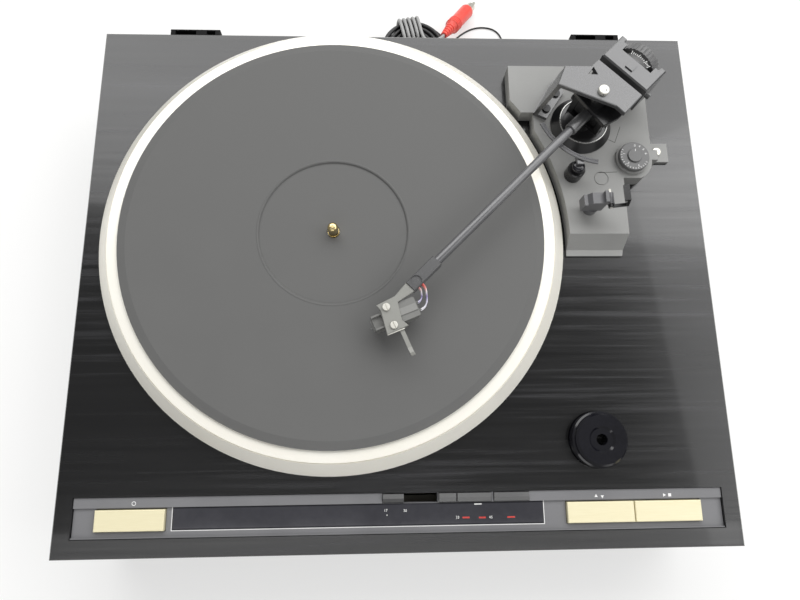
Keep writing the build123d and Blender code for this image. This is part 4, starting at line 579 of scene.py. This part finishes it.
def lash_turn(middle, half, degrees, shift, turn, far_side):
    """One turn round the coil's section: over the top first, or under it on the far side."""
    flat = half - LASH_CORNER
    above = LASH_ABOVE - LASH_CORNER
    below = LASH_BELOW - LASH_CORNER
    loop = [
        (-flat, LASH_ABOVE),
        (flat, LASH_ABOVE),
        (half, above),
        (half, -below),
        (flat, -LASH_BELOW),
        (-flat, -LASH_BELOW),
        (-half, -below),
        (-half, above),
    ]
    if far_side:
        loop = loop[4::-1] + loop[:4:-1]
    cosine = math.cos(math.radians(degrees))
    sine = math.sin(math.radians(degrees))
    points = []
    for step, (out, up) in enumerate(loop):
        side = LASH_PITCH * (LASH_TURNS / 2 - turn - step / len(loop)) - shift
        radius = middle + out
        points.append(
            behind(
                COIL_X + radius * cosine - side * sine,
                COIL_Y + radius * sine + side * cosine,
                COIL_MIDDLE + up,
            )
        )
    return points


signal_route = [
    behind(62.0, 0, GLAND_HEIGHT),
    behind(62.0, 17.0, GLAND_HEIGHT + 0.1),
    behind(60.0, 34.0, 22.8),
    behind(50.0, 46.0, 23.2),
    behind(38.0, 48.0, 23.2),
    behind(30.6, 42.0, 23.2),
]
for turn in range(LASH_TURNS):
    signal_route += lash_turn(
        middle=21.4, half=13.5, degrees=281.0, shift=LASH_SHIFT, turn=turn, far_side=False
    )
# The last turn here stops early, where the lead crosses under the coil to its far side
del signal_route[-3:]
for turn in range(LASH_TURNS):
    signal_route += lash_turn(
        middle=20.8, half=12.7, degrees=101.0, shift=0.0, turn=turn, far_side=True
    )
# The last turn there stops at the top, where the lead runs on to its plug
del signal_route[-4:]
signal_route += [
    behind(26.0, 52.7, 24.7),
    behind(29.9, 47.5, 26.7),
    behind(36.2, 45.7, 27.8),
    plug_spot - plug_along * 6.5 * MM,
    plug_spot,
]
signal = cord_piece("signal_cable", signal_route, SIGNAL_DIAMETER, finishes["cord_grey"])
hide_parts("signal_lead")

GROUND_LOW = GROUND_DIAMETER / 2 + TABLE_GAP
ground_route = [
    behind(104.0, 0, GLAND_HEIGHT),
    behind(104.0, 13.0, GLAND_HEIGHT - 0.4),
    behind(105.0, 27.0, 9.0),
    behind(106.0, 45.0, GROUND_LOW),
    behind(107.5, 63.0, GROUND_LOW),
    behind(101.0, 79.0, GROUND_LOW),
    behind(84.0, 82.5, GROUND_LOW),
    behind(68.0, 76.0, GROUND_LOW),
    behind(59.0, 67.0, GROUND_LOW),
]
ground = cord_piece("ground_lead", ground_route, GROUND_DIAMETER, finishes["cord_black"])
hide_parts("ground_wire")

# Floor: a plain sheet of pale paper, with a glow that only the camera sees
FLOOR_SIZE = 6.0
FLOOR_GLOW = 0.5
bpy.ops.mesh.primitive_plane_add(size=FLOOR_SIZE, location=(0, 0, 0))
floor = bpy.context.object
floor.name = "floor"
floor_paper, tree, shader = new_material("floor_paper", Base_Color=linear("#f6f6f4"), Roughness=0.9)
seen = add_node(tree, "ShaderNodeLightPath")
glow = add_node(tree, "ShaderNodeEmission", Color=(1, 1, 1, 1), Strength=1.0)
lift = add_node(
    tree,
    "ShaderNodeMath",
    {"operation": "MULTIPLY"},
    _0=seen.outputs["Is Camera Ray"],
    _1=FLOOR_GLOW,
)
mixed = add_node(
    tree, "ShaderNodeMixShader", Fac=lift.outputs[0], _1=shader.outputs[0], _2=glow.outputs[0]
)
tree.links.new(mixed.outputs[0], tree.nodes["Material Output"].inputs["Surface"])
floor.data.materials.append(floor_paper)


# Light, in metres and watts
def soft_lamp(name, at, aim, length, width, power):
    """Rectangular soft box that looks at a point."""
    lamp = bpy.data.lights.new(name, "AREA")
    lamp.shape = "RECTANGLE"
    lamp.size = length
    lamp.size_y = width
    lamp.energy = power
    body = bpy.data.objects.new(name, lamp)
    body.location = at
    body.rotation_euler = (Vector(aim) - body.location).to_track_quat("-Z", "Y").to_euler()
    bpy.context.scene.collection.objects.link(body)


# The back lamp shows as a sheen on the rear of the deck, the side lamp as a faint one on its right
soft_lamp("back_lamp", (0.1, 1.3, 1.55), aim=(0.0, 0.0, 0.08), length=3.0, width=1.5, power=47.0)
soft_lamp("side_lamp", (1.45, 0.15, 1.35), aim=(0.1, 0.0, 0.08), length=1.7, width=1.2, power=13.0)
soft_lamp("front_lamp", (-0.2, -1.9, 1.5), aim=(0.0, 0.0, 0.08), length=2.4, width=0.9, power=12.0)
# A narrow strip overhead shows as a sheen on the band before the panel
soft_lamp("band_lamp", (0.05, -0.43, 1.5), aim=(0.05, -0.43, 0.0), length=2.0, width=0.1, power=1.5)

# The surround is white to the camera and gives the object less light
SKY_SEEN = 1.0
SKY_LIGHT = 0.3
world = bpy.data.worlds.new("studio")
world.use_nodes = True
bpy.context.scene.world = world
tree = world.node_tree
tree.nodes.clear()
seen = add_node(tree, "ShaderNodeLightPath")
strength = add_node(
    tree,
    "ShaderNodeMapRange",
    Value=seen.outputs["Is Camera Ray"],
    To_Min=SKY_LIGHT,
    To_Max=SKY_SEEN,
)
sky = add_node(tree, "ShaderNodeBackground", Color=(1, 1, 1, 1), Strength=strength.outputs[0])
add_node(tree, "ShaderNodeOutputWorld", Surface=sky.outputs[0])

bpy.context.scene.view_settings.view_transform = "Standard"


# Ways to make and finish a piece
def select_only(piece):
    """Select this piece alone and make it the active one."""
    bpy.ops.object.select_all(action="DESELECT")
    piece.select_set(True)
    bpy.context.view_layer.objects.active = piece


def settle(piece, name, material, body):
    """Apply modifiers and place, then name the piece, dress it and let it ride."""
    select_only(piece)
    for modifier in list(piece.modifiers):
        bpy.ops.object.modifier_apply(modifier=modifier.name)
    bpy.ops.object.transform_apply(location=True, rotation=True, scale=True)
    piece.name = name
    piece.data.materials.clear()
    piece.data.materials.append(finishes[material])
    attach(piece, body)
    bpy.ops.object.select_all(action="DESELECT")
    return piece


def join(pieces):
    """Join pieces into the first one."""
    select_only(pieces[0])
    for piece in pieces[1:]:
        piece.select_set(True)
    if len(pieces) > 1:
        bpy.ops.object.join()
    return pieces[0]


def thicken(piece, thickness, side=1):
    """Give a flat piece this thickness: on its upper side, or half on each where side is 0."""
    wall = piece.modifiers.new("thickness", "SOLIDIFY")
    wall.thickness = thickness * MM
    wall.offset = side
    return piece


SHARP = math.radians(40)


def smooth(piece):
    """Shade rounded faces as one, and leave edges past the sharp angle sharp."""
    select_only(piece)
    bpy.ops.object.shade_smooth_by_angle(angle=SHARP)
    bpy.ops.object.select_all(action="DESELECT")


def flat_ring(at, inner, outer, corners):
    """Flat ring between two radii."""
    bpy.ops.mesh.primitive_circle_add(vertices=corners, radius=inner * MM, location=at)
    piece = bpy.context.object
    bpy.ops.object.mode_set(mode="EDIT")
    bpy.ops.mesh.select_all(action="SELECT")
    bpy.ops.mesh.extrude_region_move()
    bpy.ops.transform.resize(value=(outer / inner, outer / inner, 1), center_override=at)
    bpy.ops.object.mode_set(mode="OBJECT")
    return piece


def strips(name, places, thickness, material, body):
    """Flat printed or moulded strips: each has its middle, length, width and turn."""
    pieces = []
    for at, length, width, turn in places:
        bpy.ops.mesh.primitive_plane_add(size=1.0, location=at, rotation=(0, 0, turn))
        piece = bpy.context.object
        piece.scale = (length * MM, width * MM, 1)
        bpy.ops.object.transform_apply(location=True, rotation=True, scale=True)
        pieces.append(piece)
    return settle(thicken(join(pieces), thickness), name, material, body)


# The type's size is that of its whole line, so it is 1.4 times as high as a figure
TYPE_SIZE = 1.4
FIGURE_INK = 0.03


def figures(name, places, height, material, body):
    """Plain figures of this height: each has its text, middle and turn."""
    pieces = []
    for text, at, turn in places:
        bpy.ops.object.text_add(location=at, rotation=(0, 0, turn))
        piece = bpy.context.object
        piece.data.body = text
        piece.data.size = height * MM * TYPE_SIZE
        piece.data.align_x = "CENTER"
        piece.data.align_y = "CENTER"
        piece.data.extrude = FIGURE_INK * MM
        piece.data.resolution_u = 3
        select_only(piece)
        bpy.ops.object.convert(target="MESH")
        bpy.ops.object.transform_apply(location=True, rotation=True, scale=True)
        pieces.append(bpy.context.object)
    return settle(join(pieces), name, material, body)


INK = 0.04

# Window: record sizes, speeds, and the lamps' red bars
WINDOW_TOP = -1.5
WINDOW_FIGURES = (
    ("17", -12.0, -163.8),
    ("30", 0.7, -164.1),
    ("33", 35.2, -168.9),
    ("45", 57.2, -169.1),
)
DOT = 0.6
DASH = 4.9
LAMP_WIDTH = 1.0
LAMPS = ((40.8, -169.0, 4.6), (51.6, -169.2, 4.6), (70.7, -169.2, 5.1))
figures(
    "window_figures",
    [(text, spot(x, y, WINDOW_TOP), 0) for text, x, y in WINDOW_FIGURES],
    height=1.7,
    material="print",
    body="base",
)
strips(
    "window_marks",
    [
        (spot(-11.2, -166.6, WINDOW_TOP), DOT, DOT, 0),
        (spot(49.0, -160.7, WINDOW_TOP), DASH, DOT, 0),
    ],
    thickness=INK,
    material="print",
    body="base",
)
strips(
    "lamp_bars",
    [(spot(x, y, WINDOW_TOP), length, LAMP_WIDTH, 0) for x, y, length in LAMPS],
    thickness=INK,
    material="lamp_red",
    body="base",
)

# Panel: pale line round the window, and plain signs over the buttons
PANEL_FACE = -2.5
LEDGE = -1.0
WINDOW_LEFT, WINDOW_RIGHT = -150.1, 92.5
WINDOW_FRONT, WINDOW_BACK = -173.4, -159.6
LINE_GAP = 0.5
LINE_WIDTH = 0.45
LINE_INK = 0.05
FRONT_LINE_EXTRA = 1.4
SIDE_LINE_EXTRA = 0.6
window_middle_x = (WINDOW_LEFT + WINDOW_RIGHT) / 2
window_middle_y = (WINDOW_FRONT + WINDOW_BACK) / 2
front_line = WINDOW_RIGHT - WINDOW_LEFT + FRONT_LINE_EXTRA
side_line = WINDOW_BACK - WINDOW_FRONT + SIDE_LINE_EXTRA
strips(
    "window_line",
    [
        (spot(window_middle_x, WINDOW_FRONT - LINE_GAP, PANEL_FACE), front_line, LINE_WIDTH, 0),
        (spot(WINDOW_LEFT - LINE_GAP, window_middle_y, PANEL_FACE), LINE_WIDTH, side_line, 0),
        (spot(WINDOW_RIGHT + LINE_GAP, window_middle_y, PANEL_FACE), LINE_WIDTH, side_line, 0),
    ],
    thickness=LINE_INK,
    material="print",
    body="base",
)

SIGN_WIDTH = 2.6
SQUARE_WIDTH = 2.0
# Up, down and to the right
ARROWS = ((128.4, -156.9, 0), (132.6, -157.2, math.pi), (174.6, -157.0, -math.pi / 2))
signs = []
for x, y, turn in ARROWS:
    bpy.ops.mesh.primitive_circle_add(
        vertices=3,
        radius=SIGN_WIDTH * MM / 2,
        fill_type="NGON",
        location=spot(x, y, LEDGE),
        rotation=(0, 0, turn),
    )
    signs.append(bpy.context.object)
bpy.ops.mesh.primitive_plane_add(size=SQUARE_WIDTH * MM, location=spot(178.4, -157.0, LEDGE))
signs.append(bpy.context.object)
signs.append(flat_ring(spot(-175.1, -156.6, LEDGE), inner=1.0, outer=1.35, corners=28))
settle(thicken(join(signs), INK), "button_signs", "print", "base")

# Anti-skate dial: a ring of strokes and figures, and an index on the knob
DIAL = (170.6, 80.2)
DIAL_TOP = 18.2
KNOB_RAISE = 1.2
STROKE_RADIUS = 9.7
STROKE_LENGTH, STROKE_WIDTH = 1.3, 0.28
STROKE_DEGREES = range(150, 331, 12)
INDEX_RADIUS = 4.0
INDEX_LENGTH, INDEX_WIDTH = 1.8, 0.4
INDEX_DEGREES = 84
# Text, radius and degrees of each figure
DIAL_FIGURES = (
    ("0", 8.0, 84),
    ("1", 7.9, 168),
    ("2", 7.9, 228),
    ("3", 7.9, 288),
    ("4", 8.6, 60),
    ("5", 8.6, 36),
    ("6", 8.6, 12),
)


def dial_spot(radius, degrees, height):
    """Place on the anti-skate dial."""
    angle = math.radians(degrees)
    return spot(DIAL[0] + radius * math.cos(angle), DIAL[1] + radius * math.sin(angle), height)


dial_strokes = [
    (
        dial_spot(STROKE_RADIUS, degrees, DIAL_TOP),
        STROKE_LENGTH,
        STROKE_WIDTH,
        math.radians(degrees),
    )
    for degrees in STROKE_DEGREES
]
index_spot = dial_spot(INDEX_RADIUS, INDEX_DEGREES, DIAL_TOP + KNOB_RAISE)
dial_strokes.append((index_spot, INDEX_LENGTH, INDEX_WIDTH, math.radians(INDEX_DEGREES)))
strips(
    "dial_strokes",
    dial_strokes,
    thickness=INK,
    material="print",
    body="skate_dial",
)
figures(
    "dial_figures",
    [
        (text, dial_spot(radius, degrees, DIAL_TOP), math.radians(degrees - 90))
        for text, radius, degrees in DIAL_FIGURES
    ],
    height=1.7,
    material="print",
    body="skate_dial",
)

# Stylus force scale on the weight: strokes that fan along the wheel, every fourth one long
SCALE_TOP = 49.8
SCALE_STEPS = 12
LONG_EVERY = 4
LONG_STROKE = 3.0
SHORT_STROKE = 1.6
SCALE_STROKE_WIDTH = 0.35
SCALE_POINTS = ((161.6, 142.7), (166.4, 139.9), (170.2, 135.2), (172.0, 131.4))
scale_line = [Vector(point) for point in SCALE_POINTS]
strokes = []
for step in range(SCALE_STEPS + 1):
    share = step / SCALE_STEPS * (len(scale_line) - 1)
    part = min(int(share), len(scale_line) - 2)
    at = scale_line[part].lerp(scale_line[part + 1], share - part)
    way = scale_line[part + 1] - scale_line[part]
    length = LONG_STROKE if step % LONG_EVERY == 0 else SHORT_STROKE
    turn = math.atan2(way.y, way.x) + math.pi / 2
    strokes.append((spot(at.x, at.y, SCALE_TOP), length, SCALE_STROKE_WIDTH, turn))
strips(
    "scale_strokes",
    strokes,
    thickness=INK,
    material="print",
    body="tonearm",
)
figures(
    "scale_figures",
    [("1", spot(168.6, 143.0, SCALE_TOP), math.radians(-38))],
    height=1.9,
    material="print",
    body="tonearm",
)

# Arm base: moulded seams round the transit plug and beside the pillar, drawn as thin strips of
# painted shade
BASE_TOP = 12.0
SEAM_WIDTH = 0.35
# Middle, length and degrees of each seam
SEAMS = ((152.2, 70.0, 13.6, 2.5), (157.3, 95.0, 5.3, -28), (162.2, 100.2, 13.9, 68))
strips(
    "base_seam_shade",
    [
        (spot(x, y, BASE_TOP), length, SEAM_WIDTH, math.radians(degrees))
        for x, y, length, degrees in SEAMS
    ],
    thickness=0.03,
    material="groove",
    body="base",
)

# Cartridge and headshell: a raised rib on the rear, and the bright root of the finger lift
RIB_TURN = math.radians(21.5)
CARTRIDGE_TOP = 37.0
RIB_LENGTH, RIB_WIDTH = 12.4, 4.6
ROOT_LENGTH, ROOT_WIDTH = 11.8, 0.7
ROOT_RAISE = 0.3
strips(
    "cartridge_rib",
    [(spot(2.6, -37.0, CARTRIDGE_TOP), RIB_LENGTH, RIB_WIDTH, RIB_TURN)],
    thickness=0.6,
    material="stylus_grey",
    body="tonearm",
)
strips(
    "lift_root",
    [(spot(-5.0, -51.5, CARTRIDGE_TOP + ROOT_RAISE), ROOT_LENGTH, ROOT_WIDTH, RIB_TURN)],
    thickness=0.8,
    material="bright_screw",
    body="tonearm",
)

# Cue lifter: a gloss dome on its rod, and two rails on one arc under the tube
LIFTER = Vector((125.8, 67.8))
DOME_BOTTOM, DOME_HEIGHT, DOME_RADIUS = 22.8, 5.0, 4.6
DOME_ROUNDING = 2.0
ROD_BOTTOM, ROD_RADIUS = 15.0, 2.0
WEB_BACK, WEB_MIDDLE = 3.4, 28.2
WEB_SIZE = (4.4, 6.8, 5.0)
BAR_TOP, BAR_HEIGHT = 32.3, 1.6
ARC_MIDDLE = Vector((145.3, 117.1))
ARC_RADIUS = 49.0
ARC_START, ARC_END = math.radians(202.8), math.radians(261.1)
ARC_STEPS = 14
RAIL_OFFSET = 0.95
RAIL_BRIDGE_RADIUS = 0.5


def round_post(name, bottom, top, radius, rounding=0):
    """Upright cylinder at the lifter's place, its edges rounded."""
    bpy.ops.mesh.primitive_cylinder_add(
        vertices=48,
        radius=radius * MM,
        depth=(top - bottom) * MM,
        location=spot(LIFTER.x, LIFTER.y, (bottom + top) / 2),
    )
    piece = bpy.context.object
    if rounding:
        edges = piece.modifiers.new("rounding", "BEVEL")
        edges.width = rounding * MM
        edges.segments = 5
        edges.limit_method = "ANGLE"
    piece.name = name
    return piece


cue_dome = round_post(
    "cue_dome", DOME_BOTTOM, DOME_BOTTOM + DOME_HEIGHT, DOME_RADIUS, DOME_ROUNDING
)
smooth(settle(cue_dome, "cue_dome", "adaptor_gloss", "cue_bar"))

bar_pieces = [round_post("rod", ROD_BOTTOM, DOME_BOTTOM, ROD_RADIUS)]
bpy.ops.mesh.primitive_cube_add(size=1, location=spot(LIFTER.x, LIFTER.y + WEB_BACK, WEB_MIDDLE))
web = bpy.context.object
web.scale = [side * MM for side in WEB_SIZE]
bpy.ops.object.transform_apply(location=True, rotation=True, scale=True)
bar_pieces.append(web)
# A thin bridge lies between the two rails
for offset in (-RAIL_OFFSET, 0.0, RAIL_OFFSET):
    line = bpy.data.curves.new("rail", "CURVE")
    line.dimensions = "3D"
    line.bevel_depth = BAR_HEIGHT / 2 * MM if offset else RAIL_BRIDGE_RADIUS * MM
    line.bevel_resolution = 3
    line.use_fill_caps = True
    spline = line.splines.new("POLY")
    spline.points.add(ARC_STEPS)
    for step, point in enumerate(spline.points):
        angle = ARC_START + (ARC_END - ARC_START) * step / ARC_STEPS
        reach = ARC_RADIUS + offset
        at = ARC_MIDDLE + Vector((math.cos(angle), math.sin(angle))) * reach
        point.co = (*spot(at.x, at.y, BAR_TOP - BAR_HEIGHT / 2), 1)
    rail = bpy.data.objects.new("rail", line)
    bpy.context.scene.collection.objects.link(rail)
    select_only(rail)
    bpy.ops.object.convert(target="MESH")
    bar_pieces.append(bpy.context.object)
lifter_rails = settle(join(bar_pieces), "lifter_rails", "tube_black", "cue_bar")
smooth(lifter_rails)
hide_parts("cue_lifter")

# Pivot cap: two spanner holes, drawn as flat discs of painted shade
CAP_TOP = 60.87
HOLE_RADIUS = 0.5
holes = []
for x, y in ((135.9, 106.1), (133.5, 102.5)):
    bpy.ops.mesh.primitive_circle_add(
        vertices=20, radius=HOLE_RADIUS * MM, fill_type="NGON", location=spot(x, y, CAP_TOP)
    )
    holes.append(bpy.context.object)
settle(thicken(join(holes), INK), "cap_hole_shade", "groove", "base")

# Lug of the ground wire: a flat ring and its strap, pressed from tinned sheet
LUG_REACH = 7.5
LUG_HOLE, LUG_RADIUS = 1.7, 3.0
STRAP_REACH = 2.4
STRAP_LENGTH, STRAP_WIDTH = 4.9, 3.0
SHEET = 0.8
SHEET_EDGE = 0.15
ground_end = ground_route[-1]
ground_way = (ground_end - ground_route[-2]).normalized()
lug = flat_ring(ground_end + ground_way * LUG_REACH * MM, LUG_HOLE, LUG_RADIUS, corners=40)
bpy.ops.mesh.primitive_plane_add(
    size=1.0,
    location=ground_end + ground_way * STRAP_REACH * MM,
    rotation=(0, 0, math.atan2(ground_way.y, ground_way.x)),
)
strap = bpy.context.object
strap.scale = (STRAP_LENGTH * MM, STRAP_WIDTH * MM, 1)
thicken(join([lug, strap]), SHEET, side=0)
edge = lug.modifiers.new("edge", "BEVEL")
edge.width = SHEET_EDGE * MM
settle(lug, "ground_lug", "bright_ring", "base")
